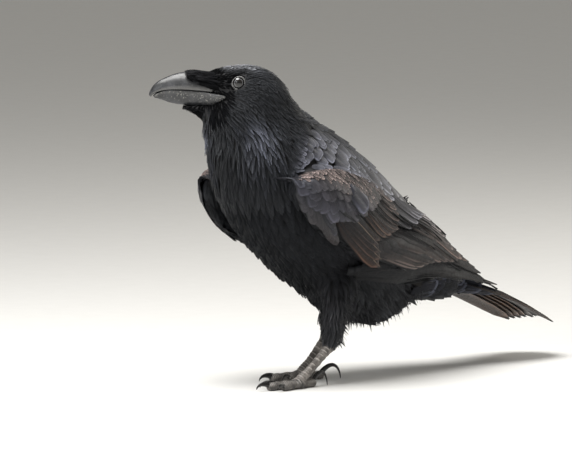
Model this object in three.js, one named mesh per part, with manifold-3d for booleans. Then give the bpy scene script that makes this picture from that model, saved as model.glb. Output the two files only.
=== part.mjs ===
// A raven (Corvus corax) standing in mid-stride, as a life-size still model.
// Millimetres, +Z up. The body heads along -X, its left side faces -Y, and the head is turned to the
// bird's right. The outer surfaces are those of the plumage, out to the tips of the feathers.
import * as THREE from "three";
import { mergeVertices } from "three/addons/utils/BufferGeometryUtils.js";
import Module from "manifold-3d";

const wasm = await Module();
wasm.setup();

// ---------- driving dimensions ----------
const GAP = 0.3; // clearance between neighbouring solids
const HEAD_TURN = 43; // degrees, to the bird's right of the body's heading
const EYE_LINE = [-86, 8, 323]; // the head's midplane, between the eyes
const EYE_RADIUS = 7.2;
const EYE_SPREAD = 15; // from the midplane to an eyeball's centre
const STANCE = 28; // from the body's midplane to each foot
const STRIDE = 33; // each foot's distance ahead of or behind the middle of the stance
const FOOT_TURN = 12; // degrees, of both feet to the bird's right
// Behind, outside and above the middle of each foot.
const ANKLE = { [-1]: [50, 6, 45], 1: [55, 4, 50] };
const PAD = { radius: 8.6, height: 10.5 }; // the ball of the foot
const BODY_FACETS = 24; // round the body
const PIECE_FACETS = 14; // round a wing, the tail or a thigh
const FACE_FACETS = 12; // round the bill, an eye or the ball of a foot
const LIMB_FACETS = 8; // round a toe or a tarsus
const CLAW_FACETS = 6;

// Toes: turn from the foot's heading, length to the claw, radius, and the claw's length, arch and the
// height of its tip's middle. The rear claws' tips stand on the floor on small flats.
const TOES = [
  { name: "middle", turn: 0, long: 37, thick: 4.5, claw: 17, arch: 2.2, tip: 1.9 },
  { name: "inner", turn: -27, long: 25, thick: 4.3, claw: 16, arch: 2.4, tip: 1.9 },
  { name: "outer", turn: 25, long: 29, thick: 4.2, claw: 14, arch: 1.8, tip: 1.9 },
  { name: "rear", turn: 192, long: 27, thick: 4.8, claw: 23, arch: 7, tip: -0.7 },
];

// ---------- colours ----------
const colour = (hex, roughness, metalness = 0) =>
  new THREE.MeshStandardMaterial({ color: hex, roughness, metalness });
const PLUMAGE = colour(0x1b1c20, 0.6);
const FLIGHT = colour(0x2b2726, 0.5);
const BILL = colour(0x55565a, 0.35);
const EYE = colour(0x140d0a, 0.05);
const SCALE_SKIN = colour(0x3c3a39, 0.55);
const CLAW = colour(0x161616, 0.3);

// ---------- frames and lofts ----------
const vec = (p) => (p.isVector3 ? p.clone() : new THREE.Vector3(...p));
const LEFT = new THREE.Vector3(0, -1, 0);
const UP = new THREE.Vector3(0, 0, 1);

function heading(degrees) {
  const a = THREE.MathUtils.degToRad(degrees);
  return {
    ahead: new THREE.Vector3(-Math.cos(a), Math.sin(a), 0),
    left: new THREE.Vector3(-Math.sin(a), -Math.cos(a), 0),
  };
}

// A closed body through a row of stations. Each station has its centre (at), the direction its width is
// measured in (side), its half width, its reach above and below the centre (up, down), and how strongly
// the section bends inwards, per millimetre, as it leaves the centre (curl).
function loft(stations, { around, steps = 2, grow = 0, mirror = false } = {}) {
  const track = (pick) => new THREE.CatmullRomCurve3(stations.map(pick), false, "catmullrom", 0.5);
  const spine = track((s) => vec(s.at));
  const sizes = track((s) => new THREE.Vector3(s.wide, s.up, s.down ?? s.up));
  const sides = track((s) => vec(s.side));
  const curls = track((s) => new THREE.Vector3(s.curl ?? 0, 0, 0));
  const geometry = new THREE.CylinderGeometry(1, 1, 1, around, steps * (stations.length - 1));
  const place = geometry.attributes.position;
  for (let i = 0; i < place.count; i++) {
    const t = Math.min(1, Math.max(0, 0.5 - place.getY(i)));
    const size = sizes.getPoint(t).addScalar(grow);
    const ahead = spine.getTangent(t);
    const side = sides.getPoint(t).normalize();
    const up = side.clone().cross(ahead).normalize();
    const lift = -place.getZ(i);
    const rise = lift * Math.max(0.1, lift > 0 ? size.y : size.z);
    const out = place.getX(i) * Math.max(0.1, size.x) - curls.getPoint(t).x * rise * rise;
    const p = spine.getPoint(t).addScaledVector(side, out).addScaledVector(up, rise);
    if (t === 0 || t === 1) {
      p.addScaledVector(ahead, t === 0 ? -grow : grow);
    }
    place.setXYZ(i, p.x, mirror ? -p.y : p.y, p.z);
  }
  return solid(geometry, mirror);
}

// ---------- solids ----------
function solid(geometry, inverted = false) {
  const bare = geometry.clone();
  bare.deleteAttribute("normal");
  bare.deleteAttribute("uv");
  const merged = mergeVertices(bare, 1e-4);
  const triangles = new Uint32Array(merged.index.array);
  if (inverted) {
    triangles.reverse();
  }
  return new wasm.Manifold(
    new wasm.Mesh({
      numProp: 3,
      vertProperties: merged.attributes.position.array,
      triVerts: triangles,
    }),
  );
}

function ball(centre, radius, detail, squash = 1) {
  const sphere = new THREE.SphereGeometry(radius, detail, Math.round(detail / 2));
  sphere.scale(1, 1, squash);
  sphere.translate(...vec(centre).toArray());
  return solid(sphere);
}

function largest(manifold) {
  return manifold.decompose().reduce((a, b) => (a.volume() > b.volume() ? a : b));
}

// Everything on the side of a plane that its normal points to.
function beyond(point, normal) {
  const size = 1400;
  const box = new THREE.BoxGeometry(size, size, size);
  box.translate(0, 0, size / 2);
  const direction = vec(normal).normalize();
  box.applyQuaternion(new THREE.Quaternion().setFromUnitVectors(UP, direction));
  box.translate(...vec(point).addScaledVector(direction, GAP / 2).toArray());
  return solid(box);
}

const without = (manifold, others) => others.reduce((kept, other) => kept.subtract(other), manifold);
const overFloor = (manifold, height = 0) => manifold.intersect(beyond([0, 0, height - GAP / 2], UP));

const bird = new THREE.Group();
function keep(name, manifold, material) {
  const { vertProperties, triVerts } = largest(manifold).getMesh();
  const geometry = new THREE.BufferGeometry();
  geometry.setAttribute("position", new THREE.BufferAttribute(vertProperties, 3));
  geometry.setIndex(new THREE.BufferAttribute(triVerts, 1));
  geometry.computeVertexNormals();
  const mesh = new THREE.Mesh(geometry, material);
  mesh.name = name;
  bird.add(mesh);
}

// ---------- the core: head, neck and trunk ----------
const head = heading(HEAD_TURN);
function inHead(forward, rise, left = 0) {
  const p = vec(EYE_LINE).addScaledVector(head.ahead, forward).addScaledVector(head.left, left);
  return p.setZ(p.z + rise);
}
const ring = (at, turn, wide, up, down) => ({ at, side: heading(turn).left, wide, up, down });
const faceRing = (forward, rise, wide, up, down) => ({
  at: inHead(forward, rise),
  side: head.left,
  wide,
  up,
  down,
});
const SKULL = [
  faceRing(31, -4, 11.5, 13, 14), // bill base
  faceRing(22, -4, 14.5, 18.5, 18), // lores
  faceRing(8, -5, 19.5, 22.5, 22), // brow
  faceRing(-6, -7, 23.5, 25.6, 28), // crown and jaw
  faceRing(-21, -10, 25.5, 26, 30),
  faceRing(-36, -13, 22, 21, 24), // nape
  faceRing(-46, -16, 16, 15.5, 16),
  faceRing(-52, -18, 9, 9, 9),
];
const CORE = [
  ring(inHead(-11, -4), HEAD_TURN, 20, 25, 22),
  ring(inHead(-13, -19), HEAD_TURN - 4, 28, 40, 42), // nape and throat
  ring(inHead(-15, -32, -5), 30, 34, 45, 55), // upper neck
  ring([-65, 4, 277], 20, 41, 55, 58), // hackles
  ring([-56, 2, 258], 8, 52, 63, 66), // neck base
  ring([-30, 0, 222], 0, 61, 74, 76), // shoulders
  ring([16, 0, 190], 0, 64, 80, 82), // breast
  ring([68, 0, 157], 0, 60, 79, 81), // belly
  ring([130, 0, 128], 0, 47, 64, 81), // flanks and vent
  ring([172, 0, 113], 0, 34, 48, 38), // rump
  ring([225, 0, 100], 0, 24, 22, 24), // tail coverts
  ring([262, 0, 86], 0, 13, 7, 8),
];
const core = (grow = 0) =>
  loft(CORE, { around: BODY_FACETS, grow }).add(loft(SKULL, { around: BODY_FACETS, grow }));

// Feathers that stand out from the loft: bristles over the nostrils and the chin's fringe.
const BRISTLES = [
  faceRing(57, 4.5, 5, 4.5, 5),
  faceRing(52, 4, 8.5, 7, 6),
  faceRing(42, 3, 10.8, 8.6, 8),
  faceRing(30, 2, 12.5, 10, 10),
  faceRing(18, 0, 15, 12, 10),
];
const CHIN = [
  faceRing(58, -25, 3, 2, 2),
  faceRing(48, -26.5, 7, 4, 4),
  faceRing(36, -29, 11, 8, 10),
  faceRing(22, -38, 17, 18, 16),
  faceRing(2, -52, 20, 22, 22),
];
function face(grow = 0) {
  const bristles = loft(BRISTLES, { around: FACE_FACETS, steps: 1, grow });
  return bristles.add(loft(CHIN, { around: FACE_FACETS, steps: 1, grow })).add(core(grow));
}

// ---------- bill and eyes ----------
const UPPER_BILL = [
  faceRing(90.6, -15, 0.8, 1.2, 0.8),
  faceRing(88.6, -12, 2.4, 3.6, 1.2),
  faceRing(83, -9.2, 4.4, 8, 1.2),
  faceRing(74, -7.3, 6.2, 12, 1.2),
  faceRing(59, -6.8, 8.8, 16.9, 1.3),
  faceRing(40, -8, 11.2, 19, 1.6),
  faceRing(22, -10, 10.5, 17, 2),
];
const LOWER_BILL = [
  faceRing(87.6, -14.6, 1.2, 0.6, 2.2),
  faceRing(83, -12, 3.4, 1.5, 6.6),
  faceRing(75, -9.2, 5.2, 2, 11.4),
  faceRing(62, -8, 7.2, 2, 14.6),
  faceRing(40, -9.4, 9.3, 2, 15),
  faceRing(22, -12, 9, 3, 11),
];
const eyes = (grow = 0) =>
  [1, -1].map((s) => ball(inHead(0, 0, s * EYE_SPREAD), EYE_RADIUS + grow, FACE_FACETS));
const upperBill = (grow = 0) => loft(UPPER_BILL, { around: FACE_FACETS, grow });
const headShape = (grow = 0) => without(face(grow), eyes(GAP));

// ---------- wings ----------
const wingRing = (at, lean, wide, up, down, curl) => ({
  at,
  side: [0, -Math.cos(THREE.MathUtils.degToRad(lean)), Math.sin(THREE.MathUtils.degToRad(lean))],
  wide,
  up,
  down,
  curl,
});
const WING = [
  wingRing([-76, -60, 214], 0, 5, 9, 9, 0.004), // wrist
  wingRing([-65, -64, 211], 2, 10, 22, 21, 0.006),
  wingRing([-36, -69, 201], 4, 11.5, 36, 37, 0.006), // lesser coverts
  wingRing([4, -69, 186], 8, 11.5, 42, 42, 0.006), // greater coverts
  wingRing([52, -62, 170], 14, 10.5, 47, 47, 0.006), // secondaries
  wingRing([104, -50, 160], 24, 9, 45, 45, 0.007),
  wingRing([156, -37, 149], 36, 7.5, 37, 38, 0.008), // tertials
  wingRing([212, -24, 125], 46, 5.5, 21, 26, 0.008),
  wingRing([258, -15, 105], 54, 3.4, 11, 13, 0.006), // primaries
  wingRing([294, -9, 87], 60, 1.2, 4, 4, 0),
];
const WING_SET = { [-1]: [6, 0, 2], 1: [0, 3, -2] }; // how each folded wing is held, off the row above
const held = (side) =>
  WING.map((s) => ({
    ...s,
    at: s.at.map((v, axis) => v + WING_SET[side][axis] * (axis === 1 ? -1 : 1)),
  }));
const midplane = { [-1]: beyond([0, 0, 0], LEFT), 1: beyond([0, 0, 0], [0, 1, 0]) };
const wing = (side, grow = 0) =>
  loft(held(side), { around: PIECE_FACETS, grow, mirror: side > 0 }).intersect(midplane[side]);
const wings = (grow = 0) => [-1, 1].map((side) => wing(side, grow));

// ---------- tail ----------
const TAIL_ROOT = 214; // behind the shoulders' middle
const TAIL_SWING = 0.08; // sideways to the bird's right, for each millimetre behind the root
const tailRing = (x, z, wide, thick) => ({
  at: [x, (x - TAIL_ROOT) * TAIL_SWING, z],
  side: UP,
  wide: thick,
  up: wide,
  curl: 0.004,
});
const TAIL = [
  tailRing(TAIL_ROOT, 104, 20, 7),
  tailRing(250, 94, 27, 6),
  tailRing(292, 81.5, 33, 4.6),
  tailRing(334, 66, 36, 3.4),
  tailRing(366, 54.5, 36, 2.4),
  tailRing(388, 46, 31, 1.7),
  tailRing(402, 41, 20, 1.2),
  tailRing(408, 39, 8, 1),
];
const tail = (grow = 0) => loft(TAIL, { around: PIECE_FACETS, steps: 1, grow });

// ---------- legs ----------
// Each leg is built for the left side and mirrored; the left foot is ahead.
const footAt = (side) => new THREE.Vector3(side * STRIDE, side * STANCE, 0);
function ankleAt(side) {
  const [behind, outside, above] = ANKLE[side];
  return footAt(side).add(new THREE.Vector3(behind, side * outside, above));
}
const legRing = (from, [x, y, z], side, wide, ahead, behind) => ({
  at: from.clone().add(new THREE.Vector3(x, side * y, z)),
  side: LEFT,
  wide,
  up: ahead,
  down: behind,
});
function thigh(side, grow = 0) {
  const a = ankleAt(side);
  const boot = [
    legRing(a, [-4, -1, -9], side, 4.5, 5, 4),
    legRing(a, [-4, -1, -4], side, 9.5, 8, 11),
    legRing(a, [-3, 0, 8], side, 12, 11.5, 15.5),
    legRing(a, [0, 0, 22], side, 12.5, 11.5, 15.5),
    legRing(a, [3, 0, 38], side, 14, 12, 17),
    legRing(a, [8, -1, 58], side, 17, 17, 21),
    legRing(a, [13, -5, 78], side, 16, 18, 20),
  ];
  return loft(boot, { around: PIECE_FACETS, steps: 1, grow });
}
function tarsus(side, grow = 0) {
  const foot = footAt(side);
  const reach = ankleAt(side).sub(foot);
  const along = (share, lift, wide, deep) => ({
    at: foot.clone().addScaledVector(reach, share).setZ(reach.z * share + lift),
    side: LEFT,
    wide,
    up: deep,
    down: deep,
  });
  const shank = [
    along(0.02, 5.5, 5.4, 5.4),
    along(0.14, 4.4, 4.6, 5.2),
    along(0.35, 2.2, 3.7, 4.6),
    along(0.7, 1, 3.9, 4.8),
    along(0.92, 0, 5, 5.6),
    along(1.04, -1, 4.4, 4.6),
  ];
  return loft(shank, { around: LIMB_FACETS, steps: 1, grow });
}
const pad = (side, grow = 0) =>
  overFloor(ball(footAt(side).setZ(PAD.height / 2 - 1), PAD.radius + grow, FACE_FACETS, PAD.height / PAD.radius / 1.6));

// A toe and its claw lie in one upright plane through the middle of the foot.
function toePlane(side, toe) {
  const { ahead } = heading(FOOT_TURN + side * toe.turn);
  return (reach, height) => footAt(side).addScaledVector(ahead, reach).setZ(height);
}
function toeRings(side, toe) {
  const point = toePlane(side, toe);
  const { left } = heading(FOOT_TURN + side * toe.turn);
  const joints = 4;
  const rings = [];
  for (let i = 0; i <= joints; i++) {
    const share = i / joints;
    const swell = 1 + 0.07 * Math.cos(2 * Math.PI * share * 2.5);
    const radius = toe.thick * (1 - 0.1 * share) * swell;
    const height = radius * 0.86 + 1.6 * (1 - share);
    const reach = PAD.radius * 0.5 + (toe.long - PAD.radius * 0.5) * share;
    rings.push({ at: point(reach, height), side: left.clone().negate(), wide: radius, up: radius });
  }
  return rings;
}
function clawRings(side, toe) {
  const point = toePlane(side, toe);
  const { left } = heading(FOOT_TURN + side * toe.turn);
  const joints = 4;
  const rings = [];
  for (let i = 0; i <= joints; i++) {
    const share = i / joints;
    const radius = THREE.MathUtils.lerp(toe.thick * 0.62, 0.45, share ** 1.2);
    const base = toe.thick * 0.95;
    const height = base + toe.arch * Math.sin(Math.PI * share ** 0.9) * 1.6 + (toe.tip - base) * share ** 2;
    const reach = toe.long - 3 + (toe.claw + 1) * Math.sin((Math.PI / 2) * share * 0.97);
    rings.push({ at: point(reach, height), side: left.clone().negate(), wide: radius * 0.8, up: radius });
  }
  return rings;
}
const toeLoft = (side, toe, grow = 0) => loft(toeRings(side, toe), { around: LIMB_FACETS, steps: 1, grow });

// ---------- the bird ----------
const allWings = wings(GAP);
const collar = { at: inHead(-12, -27), normal: [0.18, -0.1, -1] };
const shoulderLine = { at: [-50, 0, 250], normal: [0.62, 0, -0.78] };
const opposite = (n) => n.map((v) => -v);
const thighs = [-1, 1].map((side) => thigh(side, GAP));
const whole = without(headShape(), [...allWings, ...thighs]);
const neckAndHead = whole.intersect(beyond(shoulderLine.at, opposite(shoulderLine.normal)));
keep("head", neckAndHead.intersect(beyond(collar.at, opposite(collar.normal))), PLUMAGE);
keep("neck", neckAndHead.intersect(beyond(collar.at, collar.normal)), PLUMAGE);
keep("trunk", whole.intersect(beyond(shoulderLine.at, shoulderLine.normal)), PLUMAGE);
keep("tail", without(tail(), [core(GAP), ...allWings]), FLIGHT);
keep("bill_upper", without(upperBill(), [face(GAP)]), BILL);
keep("bill_lower", without(loft(LOWER_BILL, { around: FACE_FACETS }), [upperBill(GAP), face(GAP)]), BILL);
eyes().forEach((eye, i) => keep(["eye_left", "eye_right"][i], eye, EYE));

for (const side of [-1, 1]) {
  const named = (part) => `${part}_${side < 0 ? "left" : "right"}`;
  keep(named("wing"), wing(side), FLIGHT);
  keep(named("thigh"), without(thigh(side), allWings), PLUMAGE);
  keep(named("tarsus"), without(tarsus(side), [thigh(side, GAP), pad(side, GAP)]), SCALE_SKIN);
  keep(named("foot"), pad(side), SCALE_SKIN);
  const taken = [pad(side, GAP), tarsus(side, GAP)];
  for (const toe of TOES) {
    keep(named(`toe_${toe.name}`), overFloor(without(toeLoft(side, toe), taken)), SCALE_SKIN);
    taken.push(toeLoft(side, toe, GAP));
  }
  for (const toe of TOES) {
    const claw = loft(clawRings(side, toe), { around: CLAW_FACETS, steps: 1 });
    keep(named(`claw_${toe.name}`), overFloor(without(claw, taken)), CLAW);
  }
}

// The origin is under the middle of the bird, at floor level.
const middle = new THREE.Box3().setFromObject(bird).getCenter(new THREE.Vector3());
bird.position.set(-middle.x, -middle.y, 0);

export default bird;
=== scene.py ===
import bmesh
import bpy
import math
import numpy as np
from mathutils import Matrix, Vector
from mathutils.bvhtree import BVHTree
from mathutils.kdtree import KDTree


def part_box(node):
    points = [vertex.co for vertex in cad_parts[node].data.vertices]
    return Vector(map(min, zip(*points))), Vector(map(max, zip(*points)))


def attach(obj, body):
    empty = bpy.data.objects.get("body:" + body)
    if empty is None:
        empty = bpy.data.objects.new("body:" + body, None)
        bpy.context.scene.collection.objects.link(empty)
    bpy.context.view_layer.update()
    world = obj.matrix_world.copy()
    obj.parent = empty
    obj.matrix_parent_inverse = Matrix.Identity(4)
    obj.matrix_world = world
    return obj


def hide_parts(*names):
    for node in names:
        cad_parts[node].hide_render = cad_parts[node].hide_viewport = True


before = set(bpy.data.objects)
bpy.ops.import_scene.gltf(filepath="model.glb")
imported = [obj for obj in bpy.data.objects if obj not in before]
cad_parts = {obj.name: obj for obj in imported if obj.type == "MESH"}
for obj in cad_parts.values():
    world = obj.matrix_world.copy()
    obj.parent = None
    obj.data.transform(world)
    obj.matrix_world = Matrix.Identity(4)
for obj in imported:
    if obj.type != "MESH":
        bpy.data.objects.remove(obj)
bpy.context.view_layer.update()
SEED = 11
dice = np.random.default_rng(SEED)

MM = 0.001
HEAD_TURN = math.radians(43)  # to the bird's right
EYE_LINE = np.array([-86.0, 8.0, 323.0])  # the head's midplane, between the eyes
EYE_RADIUS = 7.2
EYE_SPREAD = 15.0  # from the midplane to an eye's middle
STANCE, STRIDE = 28.0, 33.0  # how far each foot is from the midline, and ahead of or behind the middle
FOOT_TURN = 12.0
ANKLE = {-1: (50, 6, 45), 1: (55, 4, 50)}  # from the foot: back, outwards and up
SIDES = {-1: "left", 1: "right"}

eye_middle = sum((sum(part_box(f"eye_{s}"), Vector()) / 4 for s in ("left", "right")), Vector())
SHIFT = np.array(eye_middle) / MM - EYE_LINE


def to_frame(points):
    return (np.asarray(points, float) + SHIFT) * MM


def from_frame(points):
    return np.asarray(points, float) / MM - SHIFT


def unit(v):
    return v / np.maximum(np.linalg.norm(v, axis=-1, keepdims=True), 1e-9)


HEAD_AHEAD = np.array([-math.cos(HEAD_TURN), math.sin(HEAD_TURN), 0])
HEAD_LEFT = np.array([-math.sin(HEAD_TURN), -math.cos(HEAD_TURN), 0])
UP = np.array([0.0, 0.0, 1.0])


def in_head(forward, rise, left=0):
    return EYE_LINE + HEAD_AHEAD * forward + HEAD_LEFT * left + UP * rise


def head_way(forward, rise):
    return HEAD_AHEAD * forward + UP * rise


# ---------- lofts ----------
def catmull(points, t):
    """A smooth curve through points, read at each t from 0 to 1."""
    points = np.asarray(points, float)
    spans = len(points) - 1
    x = np.clip(np.asarray(t, float), 0, 1) * spans
    i = np.clip(x.astype(int), 0, spans - 1)
    w = (x - i)[:, None]
    padded = np.vstack([2 * points[0] - points[1], points, 2 * points[-1] - points[-2]])
    before, a, b, after = (padded[i + k] for k in range(4))
    leave, arrive = (b - before) / 2, (after - a) / 2
    bend = 3 * (b - a) - 2 * leave - arrive
    return a + w * leave + w**2 * bend + w**3 * (2 * (a - b) + leave + arrive)


def lengths_along(points):
    """How far along the line through the points each of them lies."""
    return np.concatenate([[0], np.cumsum(np.linalg.norm(np.diff(points, axis=0), axis=1))])


def section_frames(rings, t):
    """The centre, side, up and sizes of the sections at each t. A ring is its place, the way to its side,
    its half width, its reach up and down, and how much its side curls in."""
    centres = np.array([r[0] for r in rings], float)
    step = 1e-3
    ahead = unit(catmull(centres, np.minimum(t + step, 1)) - catmull(centres, np.maximum(t - step, 0)))
    side = unit(catmull([r[1] for r in rings], t))
    sizes = catmull([r[2:6] for r in rings], t)
    return catmull(centres, t), side, unit(np.cross(side, ahead)), sizes


THINNEST = 0.05  # the least half width and reach of a section


def loft_points(rings, t, across, lift):
    """Points on the body through the rings, from -1 to 1 across its section and from -1 to 1 up it."""
    centre, side, up, sizes = section_frames(rings, t)
    reach = np.where(lift > 0, sizes[:, 1], sizes[:, 2])
    rise = lift * np.maximum(reach, THINNEST)
    out = across * np.maximum(sizes[:, 0], THINNEST) - sizes[:, 3] * rise**2
    return centre + side * out[:, None] + up * rise[:, None]


def add_loft(bm, rings, around, steps, carve=None):
    """Adds a closed body through the rings, made from a UV sphere whose poles are its two ends. The layer
    "mark" holds what the carving tells the colour, and "lift" how high on its section a point is."""
    marks = bm.verts.layers.float.get("mark") or bm.verts.layers.float.new("mark")
    lifts = bm.verts.layers.float.get("lift") or bm.verts.layers.float.new("lift")
    made = bmesh.ops.create_uvsphere(bm, u_segments=around, v_segments=steps, radius=1)["verts"]
    ball = np.array([v.co for v in made])
    t = np.arccos(np.clip(ball[:, 2], -1, 1)) / math.pi
    ring_radius = np.maximum(np.hypot(ball[:, 0], ball[:, 1]), 1e-6)
    across, lift = ball[:, 0] / ring_radius, ball[:, 1] / ring_radius
    pole = ring_radius < 1e-4
    across, lift = np.where(pole, 0, across), np.where(pole, 0, lift)
    height, mark = lift, np.zeros(len(t))
    if carve:
        across, lift, mark = carve(t, across, lift)
    for vert, point, m, h in zip(made, to_frame(loft_points(rings, t, across, lift)), mark, height):
        vert.co = point
        vert[marks], vert[lifts] = m, h
    return made


def mesh_from(bm, name):
    mesh = bpy.data.meshes.new(name)
    bm.to_mesh(mesh)
    bm.free()
    return mesh


def put_in_scene(name, data):
    made = bpy.data.objects.new(name, data)
    bpy.context.scene.collection.objects.link(made)
    return made


def keep(bm, name, material, slot, *nodes):
    """Makes the piece, smooth and facing outwards, and puts it on the frame."""
    bmesh.ops.recalc_face_normals(bm, faces=bm.faces)
    return dress(mesh_from(bm, name), name, material, slot, *nodes)


def dress(mesh, name, material, slot, *nodes):
    mesh.polygons.foreach_set("use_smooth", [True] * len(mesh.polygons))
    piece = put_in_scene(name, mesh)
    mesh.materials.append(material)
    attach(piece, "root")
    if nodes:
        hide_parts(*nodes)
    return piece


# ---------- shader building ----------
class Sock:
    """A node socket that can be used in sums."""

    def __init__(self, tree, socket):
        self.tree, self.socket = tree, socket

    def _math(self, operation, *values):
        return self.tree.node("ShaderNodeMath", {"operation": operation}, *values)

    def __add__(self, other):
        return self._math("ADD", self, other)

    def __mul__(self, other):
        return self._math("MULTIPLY", self, other)

    def __sub__(self, other):
        return self._math("SUBTRACT", self, other)

    def __rsub__(self, other):
        return self._math("SUBTRACT", other, self)

    def __pow__(self, other):
        return self._math("POWER", self, other)

    __radd__, __rmul__ = __add__, __mul__

    def sine(self):
        return self._math("SINE", self)

    def size(self):
        return self._math("ABSOLUTE", self)

    def ramp(self, low, high, to_low=0.0, to_high=1.0):
        settings = {"interpolation_type": "SMOOTHSTEP"}
        return self.tree.node("ShaderNodeMapRange", settings, self, low, high, to_low, to_high)

    def band(self, start, full, fade, end):
        """1 from full to fade, and 0 before start and after end."""
        return self.ramp(start, full) * (1 - self.ramp(fade, end))


class Tree:
    """A material's nodes, with the finished shader on its output."""

    def __init__(self, name):
        self.material = bpy.data.materials.new(name)
        self.material.use_nodes = True
        self.nodes = self.material.node_tree.nodes
        self.links = self.material.node_tree.links
        self.shader = self.nodes["Principled BSDF"]

    def node(self, kind, settings=None, *values, out=0, **named):
        made = self.nodes.new(kind)
        for key, value in (settings or {}).items():
            setattr(made, key, value)
        for key, value in list(enumerate(values)) + list(named.items()):
            self.plug(made.inputs[key], value)
        return Sock(self, made.outputs[out])

    def plug(self, entry, value):
        if isinstance(value, Sock):
            self.links.new(value.socket, entry)
        elif value is not None:
            entry.default_value = value

    def mix(self, share, a, b, blend="MIX"):
        made = self.nodes.new("ShaderNodeMix")
        made.data_type, made.blend_type = "RGBA", blend
        for key, value in ((0, share), (6, a), (7, b)):  # the share and the two colours
            self.plug(made.inputs[key], value)
        return Sock(self, made.outputs[2])

    def times(self, colour, *factors):
        """The colour with its red, green and blue multiplied."""
        return self.mix(1.0, colour, (*factors, 1), "MULTIPLY")

    def attribute(self, name, out="Color"):
        return self.node("ShaderNodeAttribute", {"attribute_name": name}, out=out)

    def noise(self, scale, detail=3.0, stretch=None):
        place = self.node("ShaderNodeTexCoord", out="Object")
        if stretch:
            place = self.node("ShaderNodeMapping", Vector=place, Scale=stretch)
        return self.node("ShaderNodeTexNoise", Vector=place, Scale=scale, Detail=detail)

    def bump(self, height, strength, distance):
        return self.node("ShaderNodeBump", Strength=strength, Distance=distance, Height=height)

    def finish(self, **sockets):
        for name, value in sockets.items():
            self.plug(self.shader.inputs[name.replace("_", " ")], value)
        return self.material


def shade(r, g, b):
    """A colour given as it looks on screen, from 0 to 255."""
    return tuple((c / 255) ** 2.2 for c in (r, g, b)) + (1.0,)


# Near blacks for the painted shadow and painted shade on the vanes.
PAINTED_SHADOW_BLACK, PAINTED_UNDERLAP_SHADE = (0.003, 0.003, 0.0035, 1), (0.004, 0.004, 0.0045, 1)
SHEEN_TINT = (0.88, 0.92, 1.0, 1)


def feather_material(name, roughness, gloss, barb_count=120, streak=0.0, rim_width=0.34, inner=0.0):
    """Reads each vane's own colour from "tint". Its alpha is how strong the painted highlight along the
    vane's rim and tip is, and the painted shadow at its very edge and tip. Above 1, the alpha also means
    that its shaft is pale. The place on the vane comes from the "Vane" map: u runs across it and v to its
    tip. Painted shade also darkens each vane towards its root, and, as much as inner says, across the side
    that lies under its neighbour."""
    m = Tree(name)
    tint = m.attribute("tint")
    alpha = m.attribute("tint", "Alpha")
    rim, pale_shaft = alpha.ramp(0.0, 1.0), alpha.ramp(1.05, 1.5)
    split = m.nodes.new("ShaderNodeSeparateXYZ")
    m.plug(split.inputs[0], m.node("ShaderNodeUVMap", {"uv_map": "Vane"}))
    u, v = Sock(m, split.outputs[0]), Sock(m, split.outputs[1])
    side = (u * 2 - 1).size()
    painted_edge_highlight = side.band(*(1 - rim_width * share for share in (1.5, 0.9, 0.7, 0.4)))
    painted_tip_highlight = v.band(*(1 - rim_width * share for share in (0.5, 0.3, 0.22, 0.12)))
    # Painted highlight: light catching each vane's rim and tip.
    pale = (painted_edge_highlight * v.ramp(0.3, 0.7) + painted_tip_highlight) * rim
    painted_edge_shadow = side.ramp(1 - rim_width * 0.6, 1 - rim_width * 0.25)
    painted_tip_shadow = v.ramp(1 - rim_width * 0.2, 1 - rim_width * 0.08)
    root = 1 - v.ramp(0.3, 0.85)
    blotch, mottle, fine = m.noise(30.0, 2.0), m.noise(260.0, 4.0), m.noise(1100.0)
    barbs = (v * barb_count + side * (barb_count * 0.35)).sine()
    shaft = 1 - side.ramp(0.0, 0.09)
    base = m.mix(mottle.ramp(0.35, 0.7) * 0.5, tint, m.times(tint, 1.6, 1.6, 1.66))
    base = m.mix(blotch.ramp(0.62, 0.38) * 0.5, base, m.times(tint, 0.45, 0.45, 0.47))
    base = m.mix(barbs.ramp(-1.0, 1.0) * streak, base, m.times(tint, 0.3, 0.3, 0.3))
    base = m.mix(pale, base, m.times(tint, 3.2, 3.25, 3.4))
    # Painted shadow: a dark line along each vane's edge and tip.
    base = m.mix((painted_edge_shadow + painted_tip_shadow) * rim.ramp(0.0, 0.35) * 0.9, base, PAINTED_SHADOW_BLACK)
    # Painted shade across the side of the vane that lies under its neighbour, as strong as inner says.
    base = m.mix(u.ramp(0.12, 0.42) * inner, base, PAINTED_UNDERLAP_SHADE)
    # Painted shade towards the root, which lies under the vanes around it.
    base = m.mix(root * 0.62, base, PAINTED_SHADOW_BLACK)
    base = m.mix(pale_shaft * (1 - side.ramp(0.02, 0.06)), base, shade(136, 118, 100))
    relief = barbs * 0.5 + shaft * 0.6 + mottle * 0.5 + fine * 0.35
    return m.finish(
        Base_Color=base,
        Roughness=mottle.ramp(0.2, 0.8, roughness - 0.1, roughness + 0.08),
        Normal=m.bump(relief, 0.5, 0.0005),
        Specular_IOR_Level=gloss,
        Specular_Tint=SHEEN_TINT,
    )


def skin_material():
    m = Tree("skin_under_feathers")
    grain = m.noise(900.0, 5.0)
    colour = m.mix(grain, (0.005, 0.005, 0.006, 1), (0.012, 0.012, 0.014, 1))
    rough = grain.ramp(0.2, 0.8, 0.7, 0.9)
    return m.finish(Base_Color=colour, Roughness=rough, Normal=m.bump(grain, 0.4, 0.0004))


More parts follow.
